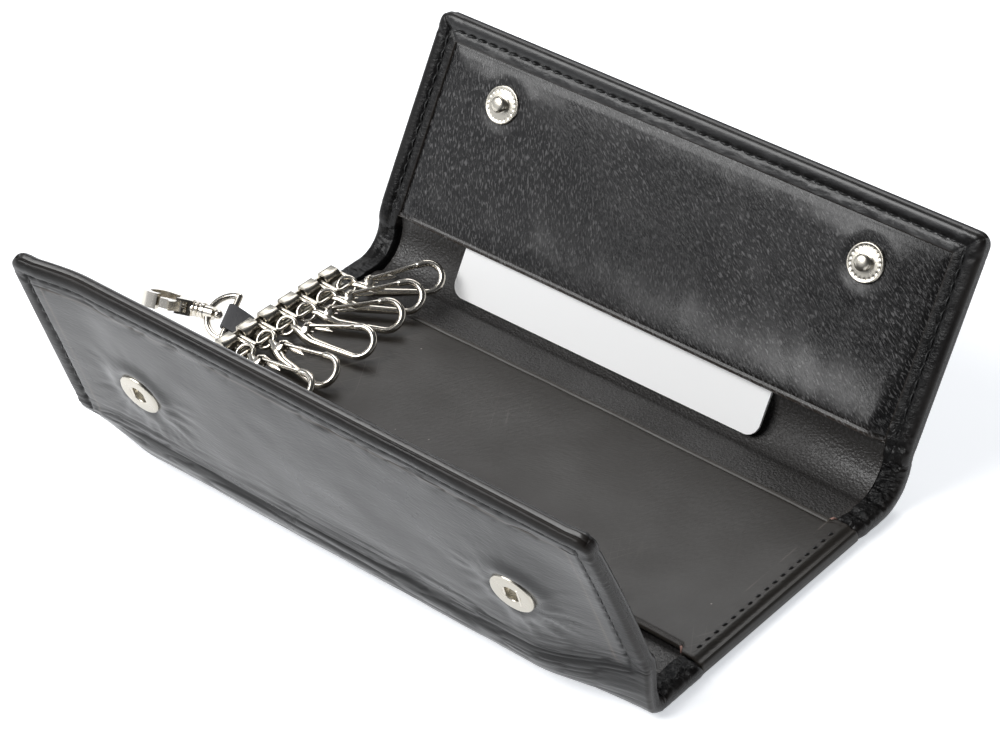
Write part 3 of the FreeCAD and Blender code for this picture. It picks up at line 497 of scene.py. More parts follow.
def relief(strip, u, x, t, edge_x, edge_t):
    """Depths of the outer and the inner face below the strip, and how rubbed, crumpled and dull they are."""
    seed = strip.seed
    s = strip.arc_at(u)
    edge = np.minimum(edge_x, edge_t)
    seam = edge - stitch_inset
    on_flap = eased(s, strip.crease_arc - 1.5, strip.crease_arc + 3.0)
    on_base = 1 - eased(s, strip.gather_arc - 0.6, strip.gather_arc + 0.8)
    on_fold = 1 - on_flap - on_base
    low_flap = on_flap * np.exp(-np.clip(t, 0, None) / 5.0)
    depth = board_depth * (1 - on_fold) + fold_depth * on_fold
    rim_rise = on_flap * (strip.rim_depth - board_depth) + on_fold * gather_rise
    rim_end = rim_width - 0.7 * on_fold
    rim = 1 - eased(edge, rim_end - 0.1, rim_end + 0.1)

    # The rims: gathers where the leather is turned in round a fold, mitred corners and the sewn line.
    right_end = 0.2 + 0.8 * eased(x, -20, 20)
    gathered = (on_fold + 0.6 * low_flap + 0.12 * on_flap) * bell(edge_x - 3.0, 2.7, 4) * right_end
    slant = s + 0.5 * (edge_x - 3) * ruffle(s, x, 7, 50, seed + 1)
    wide_folds = 1 - 2 * np.abs(ruffle(slant, edge_x, 1.6, 4.0, seed + 2))
    small_folds = 1 - 2 * np.abs(ruffle(slant + 0.6 * edge_x, edge_x, 0.9, 1.8, seed + 12))
    gather = gathered * (0.6 * wide_folds + 0.3 * small_folds)
    corner_turn = np.arctan2(9 - edge_x, 9 - edge_t)
    in_corner = eased(9 - edge_x, 1, 5) * eased(9 - edge_t, 1, 5) * on_flap
    mitre = bell(edge_x - edge_t, 0.22) * in_corner
    fan = in_corner * ruffle(corner_turn * 7, edge, 1, 8, seed + 8)
    crown = 0.10 * arch(edge / rim_width) + 0.25 * arch(edge / 3.5)
    sewn = eased(edge, 2.0, 3.4)
    pucker = 0.06 * sewn * ruffle(s + x, x - s, 1.4, 1.4, seed + 3)
    thread_side = np.where(edge_x < edge_t, s, x)
    dent = stitch_dent(thread_side, seam)
    pulled = 0.15 * sewn * bell(seam, 1.5) * ruffle(thread_side, edge, 1.1, 2.0, seed + 9)
    rim_shape = rim_rise + crown + pucker + pulled + gather + 0.25 * fan - 0.4 * mitre
    inside = depth + rim * (rim_shape - 0.42 * dent * on_flap)

    # The outer face: lumps, wrinkles and creases near the fold and under the top seam.
    lumps = 0.20 * ruffle(x, s, 26, 21, seed + 4) + 0.06 * ruffle(x, s, 7, 5, seed + 5)
    wrinkle = ruffle(x, s, 21, 1.9, seed + 6) + 0.6 * ruffle(x + 0.4 * s, s, 9, 1.1, seed + 7)
    near_crease = bell(s - strip.crease_arc - 1, 5.0) + 0.5 * on_fold
    under_seam = bell(edge_t - stitch_inset - 2.2, 2.0) * on_flap
    fine_wrinkle = ruffle(x - 0.5 * s, s, 5, 1.0, seed + 10)
    long_marks = grooves(x, s, 26, 2.6, seed + 13)
    broken = eased(ruffle(x, s, 14, 6, seed + 16), -0.5, 0.3)
    short_marks = grooves(x - 0.3 * s, s, 7, 1.3, seed + 15, 0.3) * broken
    crease_marks = np.maximum(long_marks, 0.8 * short_marks) * np.clip(near_crease, 0, 1)
    seam_marks = grooves(x - 0.7 * s, s, 4.5, 1.3, seed + 14) * under_seam
    lumps = lumps * on_flap * np.clip(edge / 4, 0, 1) + 0.15 * wrinkle * near_crease + 0.2 * crease_marks
    lumps = lumps + 0.09 * fine_wrinkle * under_seam + 0.14 * seam_marks
    tight = stitch_dent(thread_side, seam, 0.4)
    at_top = eased(edge_x - edge_t, -1.5, 1.5)
    roll = (0.22 + 0.14 * at_top) * arch(edge / stitch_inset)
    outside = (0.52 * tight - roll + 0.12 * fan) * on_flap + lumps * (1 - on_base)
    if strip is front_strip:
        outside = outside - socket_bed(x, t) * on_flap
        away = np.hypot(np.abs(x) - snap_place, t - socket_height)
        outside = outside + (inside - 0.1 - outside) * (1 - eased(away, 2.9, 4.0))
    rounding = np.minimum(0.47 * inside, side_edge_radius + (top_edge_radius - side_edge_radius) * at_top)
    rub = 0.2 * np.exp(-edge / 0.8) + on_flap * np.exp(-np.abs(edge - rim_end) / 0.2)
    dull_top = 0.45 * on_flap * np.exp(-np.clip(edge_t - stitch_inset, 0, 60) / 8)
    dull = on_flap * (1 - eased(edge, 2.4, 4.2)) + dull_top + 0.10 * eased(x, -45, 60) + 0.25 * near_crease
    dull = dull + 0.7 * crease_marks + 0.7 * seam_marks + 0.5 * tight * on_flap
    both_dull = np.clip(dull, 0, 1), 1 - 0.85 * at_top
    drop = round_edge(edge, rounding)
    crumple = rim * (gathered + 0.8 * on_flap * bell(seam - 0.3, 1.2))
    return outside + drop, inside - drop, np.clip(rub, 0, 1), crumple, both_dull


def case_half(name, strip, base_rows):
    """Half of the outer leather as a closed mesh, with the rims turned in along the free edges."""
    length = strip.length
    flap_t = spaced(0, length, 0.8, [length - m for m in edge_marks] + list(np.arange(0, 10, 0.4)))
    rows = [
        np.linspace(0, strip.gather_u, base_rows)[:-1],
        np.linspace(strip.gather_u, 1, 36)[:-1],
        np.linspace(1, 2, 60)[:-1],
        strip.flap_u(flap_t),
    ]
    u, x = np.meshgrid(np.concatenate(rows), case_columns, indexing="ij")
    t = (u - 2) * length
    edge_x, edge_t = half_length - np.abs(x), length - t
    x, t = flap_plan(x, t, length)
    t = np.where(edge_t < 0.05, t - edge_groove, t)
    u = np.where(t > 0, strip.flap_u(t), u)
    outside, inside, rub, crumple, dull = relief(strip, u, x, t, edge_x, edge_t)
    s = strip.arc_at(u)
    place = hide_place(x, s)
    narrow_from = max(0, strip.gather_arc - 3)
    x = x * (1 - base_narrowing / half_length * (1 - eased(s, narrow_from, narrow_from + 4)))
    outer, inner = strip.point(u, x, outside), strip.point(u, x, inside)
    return leather_mesh(name, outer, inner, place, rub, outer_leather, crumple, dull)


front_bend = {"start": (0, -36 * MM, 0), "end": (0, -53.6 * MM, 14.8 * MM)}
rear_bend = {"start": (0, 31 * MM, 0), "end": (0, 45.5 * MM, 11 * MM)}

def fit(piece, slot, body, *nodes, bend=None):
    """Hides the nodes a piece is shown for and attaches the piece to the body it rides; with a bend it only
    bakes the piece's placement into its mesh. The slot is not used.
    """
    if nodes:
        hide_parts(*nodes)
    if bend:
        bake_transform(piece)
    else:
        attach(piece, body)


front_nodes = ("base_shell", "base_board", "front_fold", "front_shell", "front_board")
outer_front = case_half("outer_leather_front", front_strip, 34)
fit(outer_front, "outer_leather", "front_flap", *front_nodes, bend=front_bend)
rear_nodes = ("rear_fold", "rear_shell", "rear_board")
outer_rear = case_half("outer_leather_rear", rear_strip, 5)
fit(outer_rear, "outer_leather", "rear_flap", *rear_nodes, bend=rear_bend)

# Lining: matte grained leather glued inside the folds and the front flap, its edges caught under the turned
# rims. On the rear flap it runs up behind the card pocket.
lining_thickness = 0.6
lining_tuck = 0.9
# The lining's grain ridges carry a faint painted highlight in their colour.
lining_leather = leather(
    "lining leather", (0.029, 0.027, 0.0255, 1), rough=0.50, pebble=1500.0, crease=1700.0,
    stretch=(1.0, 1.0, 1.0), turns=(0.0, 1.0), crease_share=0.6, bump=1.0, painted_highlight=0.2,
)
tucked_reach = half_length - rim_width + lining_tuck


def lining_half(name, strip, base_reach, flap_reach, seed):
    """A lining sheet on the inside of one half of the case, and its flat size."""
    marks = [tucked_reach - m for m in (0.1, 0.3, 0.6, 1.2)]
    columns = both_ways(tucked_reach, 1.2, marks)
    flap_rows = strip.flap_u(spaced(0, flap_reach, 1.2))
    rows = np.concatenate([np.linspace(base_reach, 1, 10)[:-1], np.linspace(1, 2, 40)[:-1], flap_rows])
    u, x = np.meshgrid(rows, columns, indexing="ij")
    s = strip.arc_at(u)
    on_fold = eased(u, 0.98, 1.12) * (1 - eased(u, 1.97, 2.06))
    x = x * (1 - 0.012 * on_fold)
    low = board_depth * (1 - on_fold) + fold_depth * on_fold - 0.05
    lumps = 0.10 * ruffle(x, s, 18, 12, seed) + 0.05 * ruffle(x, s, 5, 3, seed + 1)
    edge = tucked_reach - np.abs(x)
    high = low + lining_thickness + 0.05 + lumps * eased(edge, 0, 4)
    lower, upper = strip.point(u, x, low), strip.point(u, x, high - round_edge(edge, 0.25))
    middle = lower[:, len(columns) // 2]
    length = np.linalg.norm(np.diff(middle, axis=0), axis=1).sum()
    rub = np.exp(-edge / 0.5)
    piece = leather_mesh(name, lower, upper, hide_place(x, s + 90), rub, lining_leather)
    return piece, (2 * tucked_reach * MM, length * MM)


front_reach = front_length - rim_width + lining_tuck
lining_front, front_cut = lining_half("lining_front", front_strip, 0.62, front_reach, 51)
lining_nodes = ("front_fold_lining", "front_lining", "base_lining")
fit(lining_front, "lining_leather", "front_flap", *lining_nodes, bend=front_bend)
lining_rear, rear_cut = lining_half("lining_rear", rear_strip, 0.02, 20.0, 61)
fit(lining_rear, "lining_leather", "rear_flap", "rear_fold_lining", "rear_lining", bend=rear_bend)

# Base panel: one firm, smooth sheet of leather sewn under the rims at its two short ends. It bows up a little
# between them and is open along both long edges, which have a creased line.
panel_front = -24.0
panel_rear = 28.4
panel_reach = 73.35
panel_seam = 69.7
panel_score = 66.8
panel_pitch = 2.85
panel_end_top = 3.72
panel_middle_top = 4.3
panel_thickness = 0.9
panel_leather = leather(
    "panel leather", (0.0215, 0.018, 0.0145, 1), rough=0.42, pebble=2200.0, crease=90.0,
    stretch=(1.0, 0.3, 1.0), turns=(0.3, 1.2), crease_share=0.0, bump=0.25, worn=(0.20, 0.175, 0.145, 1),
    gloss=0.4, patchy=0.04,
)
scuff_colour = (0.22, 0.20, 0.18, 1)


def add_scuffs(material):
    """Fine scratches in three directions and a few pale specks on a smooth panel, added to its colour."""
    tree = material.node_tree
    flat = kept(tree, "flat", "Vector")
    where = noise(tree, flat, 45.0, 2.0)
    mask = 0.0
    for angle, low in ((0.5, 0.56), (1.9, 0.60), (2.6, 0.58)):
        wander = noise(tree, drawn_out(tree, flat, angle, (1.0, 0.03, 1.0)), 260.0, 1.0)
        line = smooth_range(tree, from_middle(tree, wander), 0.0, 0.012, 1.0, 0.0)
        scratch = math_node(tree, "MULTIPLY", line, smooth_range(tree, where, low, low + 0.15))
        mask = math_node(tree, "MAXIMUM", mask, scratch)
    cells = node(tree, "ShaderNodeTexVoronoi", {"Vector": flat, "Scale": 140.0}).outputs
    chosen = node(tree, "ShaderNodeSeparateXYZ", {0: cells["Color"]}).outputs["X"]
    dot = smooth_range(tree, cells["Distance"], 0.02, 0.035, 1.0, 0.0)
    speck = math_node(tree, "MULTIPLY", dot, smooth_range(tree, chosen, 0.7, 0.72))
    mask = math_node(tree, "MAXIMUM", math_node(tree, "MULTIPLY", mask, 0.16), speck)
    colour = tree.nodes["Principled BSDF"].inputs["Base Color"]
    tree.links.new(mix_colour(tree, mask, colour.links[0].from_socket, scuff_colour), colour)


add_scuffs(panel_leather)
panel_end = curve(
    [
        (69.0, 0), (70.3, 0), (71.0, -0.22), (71.6, -0.55), (72.1, -0.68), (72.5, -0.62), (72.85, -0.82),
        (73.15, -1.35), (73.4, -2.3),
    ],
    90,
)


def panel_top(x, y):
    """Height of the panel's upper face, which rolls down over the ends of the base."""
    shown = half_length - rim_width
    from_seam = np.abs(x) - panel_seam
    bow = np.clip(1 - (x / shown) ** 2, 0, 1) ** 0.8
    lumps = 0.16 * ruffle(x, y, 34, 24, 71) + 0.05 * ruffle(x, y, 9, 9, 72)
    roll = np.interp(np.abs(x), panel_end[:, 0], panel_end[:, 1])
    seam = stitch_dent(y * stitch_pitch / panel_pitch, from_seam, 0.4)
    pulled = 0.05 * ruffle(y, x, 1.5, 2.0, 73) * bell(from_seam, 1.5)
    level = panel_end_top + (panel_middle_top - panel_end_top) * bow + lumps * eased(shown - np.abs(x), 0, 8)
    return level + roll - 0.12 * seam + pulled


def base_panel():
    marks = [panel_score + m for m in (-0.3, -0.12, 0, 0.12, 0.3)]
    marks += [panel_seam + m for m in (-0.8, -0.4, -0.2, 0, 0.2, 0.4)]
    marks += list(np.arange(70.3, panel_reach, 0.15))
    columns = both_ways(panel_reach, 1.0, marks)
    inset = [0.1, 0.3, 0.5, 0.7, 0.9, 1.0, 1.1, 1.2, 1.3, 1.4, 1.8]
    row_marks = [panel_front + m for m in inset] + [panel_rear - m for m in inset]
    y, x = np.meshgrid(spaced(panel_front, panel_rear, 0.8, row_marks), columns, indexing="ij")
    edge = np.minimum(y - panel_front, panel_rear - y)
    over_end = eased(np.abs(x), panel_score - 0.2, panel_score + 0.8)
    y = y + over_end * (0.9 * eased(y, 20, panel_rear) - 0.9 * eased(-y, 14, -panel_front))
    welt = 0.26 * bell(edge - 0.5, 0.4) - 0.22 * bell(edge - 1.2, 0.16)
    high = panel_top(x, y) + welt * (1 - over_end) - round_edge(edge, 0.4)
    low = np.minimum(panel_top(x, y) - panel_thickness + round_edge(edge, 0.3), high - 0.25)
    score = bell(np.abs(x) - panel_score, 0.1) * eased(ruffle(y, x, 4.5, 60, 74), -0.2, 0.2)
    rub = np.maximum(0.3 * np.exp(-edge / 0.6), score)
    outer, inner = np.stack([x, y, low], -1), np.stack([x, y, high], -1)
    return leather_mesh("base_panel_leather", outer, inner, hide_place(x, y + 300), rub, panel_leather)


panel = base_panel()
fit(panel, "panel_leather", "case_base", "base_panel")

# Card pocket: a glossy creased panel on the rear flap, caught under the rims on three sides and open towards
# the fold, where its edge is turned under.
pocket_low = 1.0
pocket_level = 3.9
pocket_thickness = 0.7
pocket_top = rear_length - rim_width + lining_tuck
# The pocket's crease ridges carry a strong painted highlight in their colour.
pocket_leather = leather(
    "pocket leather", leather_black, rough=0.30, pebble=2200.0, crease=2900.0, stretch=(1.0, 0.26, 1.0),
    turns=(-0.35, -0.9), crease_share=1.0, bump=1.0, painted_highlight=0.42, coat=0.40, gloss=0.14, patchy=0.06,
)
card_face = 3.15
stud_height = 34.5


def pocket_panel():
    marks = [tucked_reach - m for m in (0.3, 0.6, 0.9, 1.3, 2, 3, 4)]
    columns = both_ways(tucked_reach, 1.0, marks)
    row_marks = [pocket_low + m for m in (0.1, 0.25, 0.45, 0.7, 1.0, 1.2, 1.4, 1.8)]
    row_marks += [pocket_top - m for m in (0.9, 1.3, 2, 3, 4)]
    t, x = np.meshgrid(spaced(pocket_low, pocket_top, 1.0, row_marks), columns, indexing="ij")
    edge = np.minimum(tucked_reach - np.abs(x), pocket_top - t)
    hem = t - pocket_low
    sunk = 0.3 * (1 - eased(edge, 0.7, 6.5)) + 0.35 * (1 - eased(edge, 1.0, 1.7))
    away = np.hypot(np.abs(x) - snap_place, t - stud_height)
    pressed = 0.25 * bell(away, 5.5, 4) - 0.12 * bell(away - 7, 1.6)
    lumps = 0.20 * ruffle(x, t, 24, 30, 81) + 0.09 * ruffle(x + 0.3 * t, t, 6, 16, 82)
    lumps = lumps + 0.07 * ruffle(x, t, 2.4, 7, 83)
    lumps = lumps * eased(edge, 1, 6) * eased(hem, 0, 6) - pressed
    line = 0.12 * bell(hem - 1.2, 0.18) - 0.12 * bell(hem - 0.55, 0.4)
    bulge = (0.5 + 0.9 * eased(x, -30, 45)) * bell(hem, 9.0) * eased(edge, 0.9, 4)
    high = pocket_level - sunk + lumps - line + bulge
    low = np.maximum(high - pocket_thickness, card_face)
    u = rear_strip.flap_u(t)
    lower = rear_strip.point(u, x, low + round_edge(hem, 0.3))
    upper = rear_strip.point(u, x, high - round_edge(hem, 0.4))
    rub = np.exp(-hem / 0.6)
    dull = 0.85 * eased(x, 44, 66) * (1 - np.exp(-hem / 9))
    place = hide_place(x, t + 200)
    return leather_mesh("pocket_leather_panel", lower, upper, place, rub, pocket_leather, dull=(dull, dull))


pocket = pocket_panel()
fit(pocket, "pocket_leather", "rear_flap", "pocket_panel")

# Stitching: black thread in tight lock stitches, round the three free edges of both flaps on both faces and
# across the two ends of the base panel.
thread_radius = 0.24
thread = plain_finish("thread", {"Base Color": (0.006, 0.006, 0.006, 1), "Roughness": 0.45})
raw_thread = plain_finish("raw thread", {"Base Color": (0.42, 0.24, 0.20, 1), "Roughness": 0.7})


def tube(line, radius, sides=12, closed=False, across=None, squash=1.0):
    """A closed shell round a line of points, with its width measured along across and round ends."""
    line = np.asarray(line, float)
    radius = np.broadcast_to(np.asarray(radius, float), len(line))
    if not closed:
        bend = np.radians([86, 62, 34])
        first, last = unit(line[0] - line[1]), unit(line[-1] - line[-2])
        start = line[0] + np.sin(bend)[:, None] * radius[0] * first
        end = line[-1] + np.sin(bend[::-1])[:, None] * radius[-1] * last
        line = np.concatenate([start, line, end])
        radius = np.concatenate([np.cos(bend) * radius[0], radius, np.cos(bend[::-1]) * radius[-1]])
    ahead = np.roll(line, -1, 0) - np.roll(line, 1, 0) if closed else np.gradient(line, axis=0)
    ahead = unit(ahead)
    if across is None:
        across = np.eye(3)[np.argmin(np.abs(ahead[0]))]
    sideways = []
    for way in ahead:
        across = unit(across - way * np.dot(across, way))
        sideways.append(across)
    sideways = np.array(sideways)
    upward = np.cross(ahead, sideways) * squash
    turn = np.linspace(0, 2 * math.pi, sides, endpoint=False)[:, None]
    rings = sideways[:, None] * np.cos(turn) + upward[:, None] * np.sin(turn)
    points = line[:, None] + radius[:, None, None] * rings
    return points.reshape(-1, 3), ring_faces(len(line), sides, closed)


def ring_faces(rings, sides, closed=False):
    """Faces between neighbouring rings of points, with a face over each open end."""
    index = np.arange(rings * sides).reshape(rings, sides)
    after = np.roll(index, -1, 0) if closed else index[1:]
    before = index if closed else index[:-1]
    faces = np.stack([before, np.roll(before, -1, 1), np.roll(after, -1, 1), after], -1)
    faces = faces.reshape(-1, 4).tolist()
    if not closed:
        faces += [index[0, ::-1].tolist(), index[-1].tolist()]
    return faces


def solid(name, shells, material, sharp=180):
    """One piece made of closed shells in millimetres, shaded smooth up to an angle between faces."""
    points, faces = [], []
    for shell_points, shell_faces in shells:
        faces += [[i + len(points) for i in face] for face in shell_faces]
        points += (np.asarray(shell_points) * MM).tolist()
    mesh = bpy.data.meshes.new(name)
    mesh.from_pydata(points, [], faces)
    work = bmesh.new()
    work.from_mesh(mesh)
    bmesh.ops.recalc_face_normals(work, faces=work.faces)
    work.to_mesh(mesh)
    work.free()
    piece = make_piece(name, mesh, material)
    mesh.set_sharp_from_angle(angle=math.radians(sharp))
    return piece


stitch_share = np.linspace(0.10, 0.90, 7)
stitch_lift = thread_radius * (1.5 * arch(np.linspace(0, 1, 7)) - 0.6)


def flap_seam(name, strip, inner, body, radius):
    """The stitches on one face of a flap, up its two sides and along its top."""
    reach, top = half_length - stitch_inset, strip.length - stitch_inset
    count = math.floor(reach / stitch_pitch)
    low_hole = math.ceil((strip.crease_arc + 5.5) / stitch_pitch)
    high_hole = math.floor((strip.crease_arc + top) / stitch_pitch)
    heights = np.arange(low_hole, high_hole) * stitch_pitch - strip.crease_arc
    holes = [(side * reach, t, 0, stitch_pitch) for side in (-1, 1) for t in heights]
    holes += [(k * stitch_pitch, top, stitch_pitch, 0) for k in range(-count, count)]
    x, t, along_x, along_t = np.array(holes).T[:, :, None]
    slant = 0.16 * (stitch_share - 0.5)
    x = x + along_x * stitch_share + np.where(along_x == 0, slant, 0)
    t = t + along_t * stitch_share + np.where(along_t == 0, slant, 0)
    u = strip.flap_u(t)
    outside, inside = relief(strip, u, x, t, half_length - np.abs(x), strip.length - t)[:2]
    lines = strip.point(u, x, inside + stitch_lift if inner else outside - 0.4 * stitch_lift)
    fit(solid(name, [tube(line, radius, 6) for line in lines], thread), "outer_leather", body)


for flap, strip in (("front", front_strip), ("rear", rear_strip)):
    flap_seam(f"{flap}_seam_outside", strip, False, f"{flap}_flap", 0.7 * thread_radius)
    flap_seam(f"{flap}_seam_inside", strip, True, f"{flap}_flap", thread_radius)
first_hole, last_hole = math.ceil(panel_front / panel_pitch), math.floor(panel_rear / panel_pitch)
panel_stitches = []
for side in (-1, 1):
    for hole in np.arange(first_hole, last_hole) * panel_pitch:
        y = hole + panel_pitch * (0.28 + 0.44 * stitch_share)
        x = side * panel_seam + 0.5 * (stitch_share - 0.5)
        line = np.stack([x, y, panel_top(x, y) + stitch_lift], -1)
        panel_stitches.append(tube(line, 0.95 * thread_radius, 6))
fit(solid("panel_seam", panel_stitches, thread), "panel_leather", "case_base")
frayed_ends = []
for x, y, turn in ((67.3, 28.8, 0.75), (67.4, -24.3, -0.65)):
    end = np.array([(-0.55, -turn, -0.2), (0, 0, 0.1), (0.35, turn, -0.4)]) + (x, y, panel_end_top)
    frayed_ends.append(tube(curve(end, 8), np.linspace(0.34, 0.14, 8), 8))
fit(solid("panel_thread_ends", frayed_ends, raw_thread), "panel_leather", "case_base")

# Press studs: two turned studs riveted to the card pocket and two turned sockets riveted to the front flap,
# with a wire spring inside each socket that grips the stud's ball. Like all the hardware they are steel with a
# nickel plate that is a little uneven in its polish.
def nickel_plate(name, colour, smoothest, roughest):
    material = plain_finish(name, {"Base Color": colour, "Metallic": 1.0})
    tree = material.node_tree
    uneven = noise(tree, node(tree, "ShaderNodeTexCoord").outputs["Object"], 420.0, 3.0)
    polish = node(tree, "ShaderNodeMapRange", {"Value": uneven, "To Min": smoothest, "To Max": roughest})
    tree.links.new(polish.outputs[0], tree.nodes["Principled BSDF"].inputs["Roughness"])
    return material


nickel = nickel_plate("nickel plate", (0.67, 0.63, 0.56, 1), 0.10, 0.30)
satin_nickel = nickel_plate("satin nickel plate", (0.54, 0.51, 0.445, 1), 0.2, 0.38)
stud_outline = [
    (0.02, -0.3), (4.25, -0.3), (4.42, -0.12), (4.47, 0.12), (4.45, 0.36), (4.32, 0.52), (4.15, 0.56),
    (3.98, 0.5), (3.85, 0.47), (3.7, 0.46), (3.55, 0.46), (3.4, 0.46), (3.25, 0.47), (3.1, 0.48), (2.7, 0.5),
    (2.0, 0.54), (1.62, 0.6), (1.45, 0.68), (1.4, 0.8), (1.4, 1.12), (1.5, 1.26), (1.72, 1.42), (1.88, 1.66),
    (1.9, 1.9), (1.82, 2.14), (1.62, 2.36), (1.3, 2.52), (0.85, 2.62), (0.4, 2.66), (0.02, 2.67),
]
socket_outline = [
    (0.02, -1.9), (2.4, -1.9), (2.45, -0.4), (4.7, -0.4), (5.0, -0.2), (5.08, 0.1), (5.1, 0.5), (5.05, 0.78),
    (4.88, 0.94), (4.6, 1.02), (4.2, 1.04), (3.2, 1.0), (2.6, 0.98), (2.34, 0.96), (2.16, 0.88), (2.1, 0.72),
    (2.08, 0.5), (2.08, -1.5), (1.9, -1.7), (0.02, -1.75),
]


def lathe(outline, strip, x, t, depth, outward, sides=120, press=None):
    """A turned shell that stands on a flap, its outline given as radius and height from foot to top."""
    u = strip.flap_u(np.array(t))
    axis = strip.inward(u, np.array(x)) * outward
    first = unit(np.cross(axis, (0, 1, 0)))
    second = np.cross(axis, first)
    radius, height = np.array(outline).T[:, :, None]
    turn = np.linspace(0, 2 * math.pi, sides, endpoint=False)
    if press is not None:
        height = height - press(radius, turn)
    spokes = np.cos(turn)[:, None] * first + np.sin(turn)[:, None] * second
    points = radius[..., None] * spokes + (height + 0 * turn)[..., None] * axis
    points = strip.point(u, np.array(x), np.array(depth)) + points
    return points.reshape(-1, 3), ring_faces(len(outline), sides)


def dimples(radius, turn):
    """Twenty small hollows pressed into the flange of a stud."""
    return 0.14 * bell(radius - 3.55, 0.22) * np.clip(np.cos(20 * turn), 0, 1) ** 1.5


def turned_pair(name, outline, strip, height, depth, outward, **form):
    """Two turned pieces on a flap, equally far from its middle."""
    shells = [lathe(outline, strip, side * snap_place, height, depth, outward, **form) for side in (-1, 1)]
    return solid(name, shells, satin_nickel)


studs = turned_pair(
    "snap_studs_turned", stud_outline, rear_strip, stud_height, pocket_level, 1, press=dimples
)
fit(studs, "nickel_plate", "rear_flap", "snap_studs")
sockets = turned_pair("snap_sockets_turned", socket_outline, front_strip, socket_height, 0, -1, sides=64)
fit(sockets, "nickel_plate", "front_flap", "snap_sockets")

# Key rail: one strip of steel riveted across the left end of the base, with six knuckles rolled from its edge
# that hold the bails.
rail_axis = np.array((-69.8, 6.7))
rail_from, rail_to = -12.05, 27.05
rail_left = -71.35
rail_foot = 3.8
rail_lip = 7.2
knuckle_radius = 1.55
knuckle_sheet = 0.6
knuckle_half_width = 2.28
hook_rows = [-9.5 + 6.8 * k for k in range(6)]


def prism(outline, low, high, bevel=0.14):
    """A bar along Y with the given outline in X and Z and softened ends."""
    outline = np.array(outline, float)
    ahead = np.roll(outline, -1, 0) - np.roll(outline, 1, 0)
    area = np.sum(outline[:, 0] * np.roll(outline[:, 1], -1) - outline[:, 1] * np.roll(outline[:, 0], -1))
    outward = unit(np.stack([ahead[:, 1], -ahead[:, 0]], -1)) * np.sign(area)
    rings = []
    ends = (0, bevel), (bevel * 0.3, bevel * 0.3), (bevel, 0)
    places = [(low + a, b) for a, b in ends] + [(high - a, b) for a, b in ends[::-1]]
    for y, shrink in places:
        ring = outline - outward * shrink
        rings.append(np.stack([ring[:, 0], np.full(len(ring), y), ring[:, 1]], -1))
    return np.concatenate(rings), ring_faces(len(rings), len(outline))


def round_box(left, right, bottom, top, radius):
    """The outline of a bar with rounded edges."""
    outline = []
    for x, z, start in ((right, top, 0), (left, top, 90), (left, bottom, 180), (right, bottom, 270)):
        for turn in np.radians(start + np.linspace(0, 90, 5)):
            middle_x = x - math.copysign(radius, x - (left + right) / 2)
            middle_z = z - math.copysign(radius, z - (bottom + top) / 2)
            outline.append((middle_x + radius * math.cos(turn), middle_z + radius * math.sin(turn)))
    return outline


knuckle_right = rail_axis[0] + knuckle_radius
knuckle_top = rail_axis[1] + knuckle_radius
knuckle_bottom = rail_axis[1] - knuckle_radius


def rolled_sheet(inset):
    """One face of the sheet that is bent over and under the bail, from the rail's top to its curled end."""
    line = [(rail_left + 0.3, knuckle_top - inset)]
    for x, z, radius, start, stop in (
        (knuckle_right - 1.45, knuckle_top - 1.45, 1.45 - inset, 90, 0),
        (knuckle_right - 1.3, knuckle_bottom + 1.3, 1.3 - inset, 0, -150),
    ):
        for turn in np.radians(np.linspace(start, stop, 14)):
            line.append((x + radius * math.cos(turn), z + radius * math.sin(turn)))
    return line


rolled = rolled_sheet(0) + rolled_sheet(knuckle_sheet)[::-1]
rail_shells = [
    prism(round_box(rail_left, rail_left + 4.0, rail_foot, rail_foot + 0.8, 0.2), rail_from, rail_to),
    prism(round_box(rail_left + 0.05, rail_left + 0.6, rail_foot + 0.1, rail_lip, 0.2), rail_from, rail_to),
]
knuckle_wall = round_box(rail_left, rail_left + 0.65, rail_foot, knuckle_top, 0.22)
for y in hook_rows:
    rail_shells.append(prism(knuckle_wall, y - knuckle_half_width, y + knuckle_half_width))
    rail_shells.append(prism(rolled, y - knuckle_half_width, y + knuckle_half_width))
rail = solid("key_rail_rolled", rail_shells, satin_nickel, 32)
fit(rail, "nickel_plate", "case_base", "key_rail")

# Key hooks: six spring hooks of thick nickel-plated wire. Each has an eye on its bail, a forged neck with two
# lugs, a long round nose and a gate of thin wire that turns on a pin between the lugs.
eye_radius = 2.1
pivot = np.array((5.2, 0.9))
nose_centre = np.array((18.3, 0))
nose_radius = 3.5
hook_wire = 0.8
neck_end = np.array((7.3, -2.3))
tip_overlap = 1.1
joints = {joint["name"]: joint for joint in frame["joints"]}


def tangent(start, side):
    """Direction of the line from start that touches the nose on its lower (-1) or upper (1) side."""
    way = nose_centre - start
    return math.atan2(way[1], way[0]) + side * math.asin(nose_radius / np.hypot(*way))


def on_nose(turn):
    return nose_centre + nose_radius * np.array((math.cos(turn), math.sin(turn)))


shank_turn, gate_turn = tangent(neck_end, -1), tangent(pivot, 1)
gate_way = np.array((math.cos(gate_turn), math.sin(gate_turn)))
nose = [on_nose(a) for a in np.linspace(shank_turn - math.pi / 2, gate_turn + math.pi / 2, 28)]
neck = curve([(1.7, 0), (2.6, -0.2), (3.9, -0.8), (5.4, -1.55), neck_end], 12)
shank = [neck_end + (nose[0] - neck_end) * share for share in (0.08, 0.2, 0.4, 0.6, 0.8, 0.95)]
tip = [nose[-1] - gate_way * tip_overlap * share for share in (0.3, 0.7, 1.0)]
hook_line = np.concatenate([neck, shank, nose, tip])
hook_thick = np.full(len(hook_line), hook_wire)
hook_thick[:12] = np.interp(np.linspace(0, 1, 12), [0, 0.25, 0.55, 0.8, 1], [0.75, 1.1, 1.35, 1.25, 1.1])
hook_thick[12:18] = np.linspace(1.08, hook_wire, 6)
gate_length = np.linalg.norm(nose[-1] - pivot) - tip_overlap - 0.15


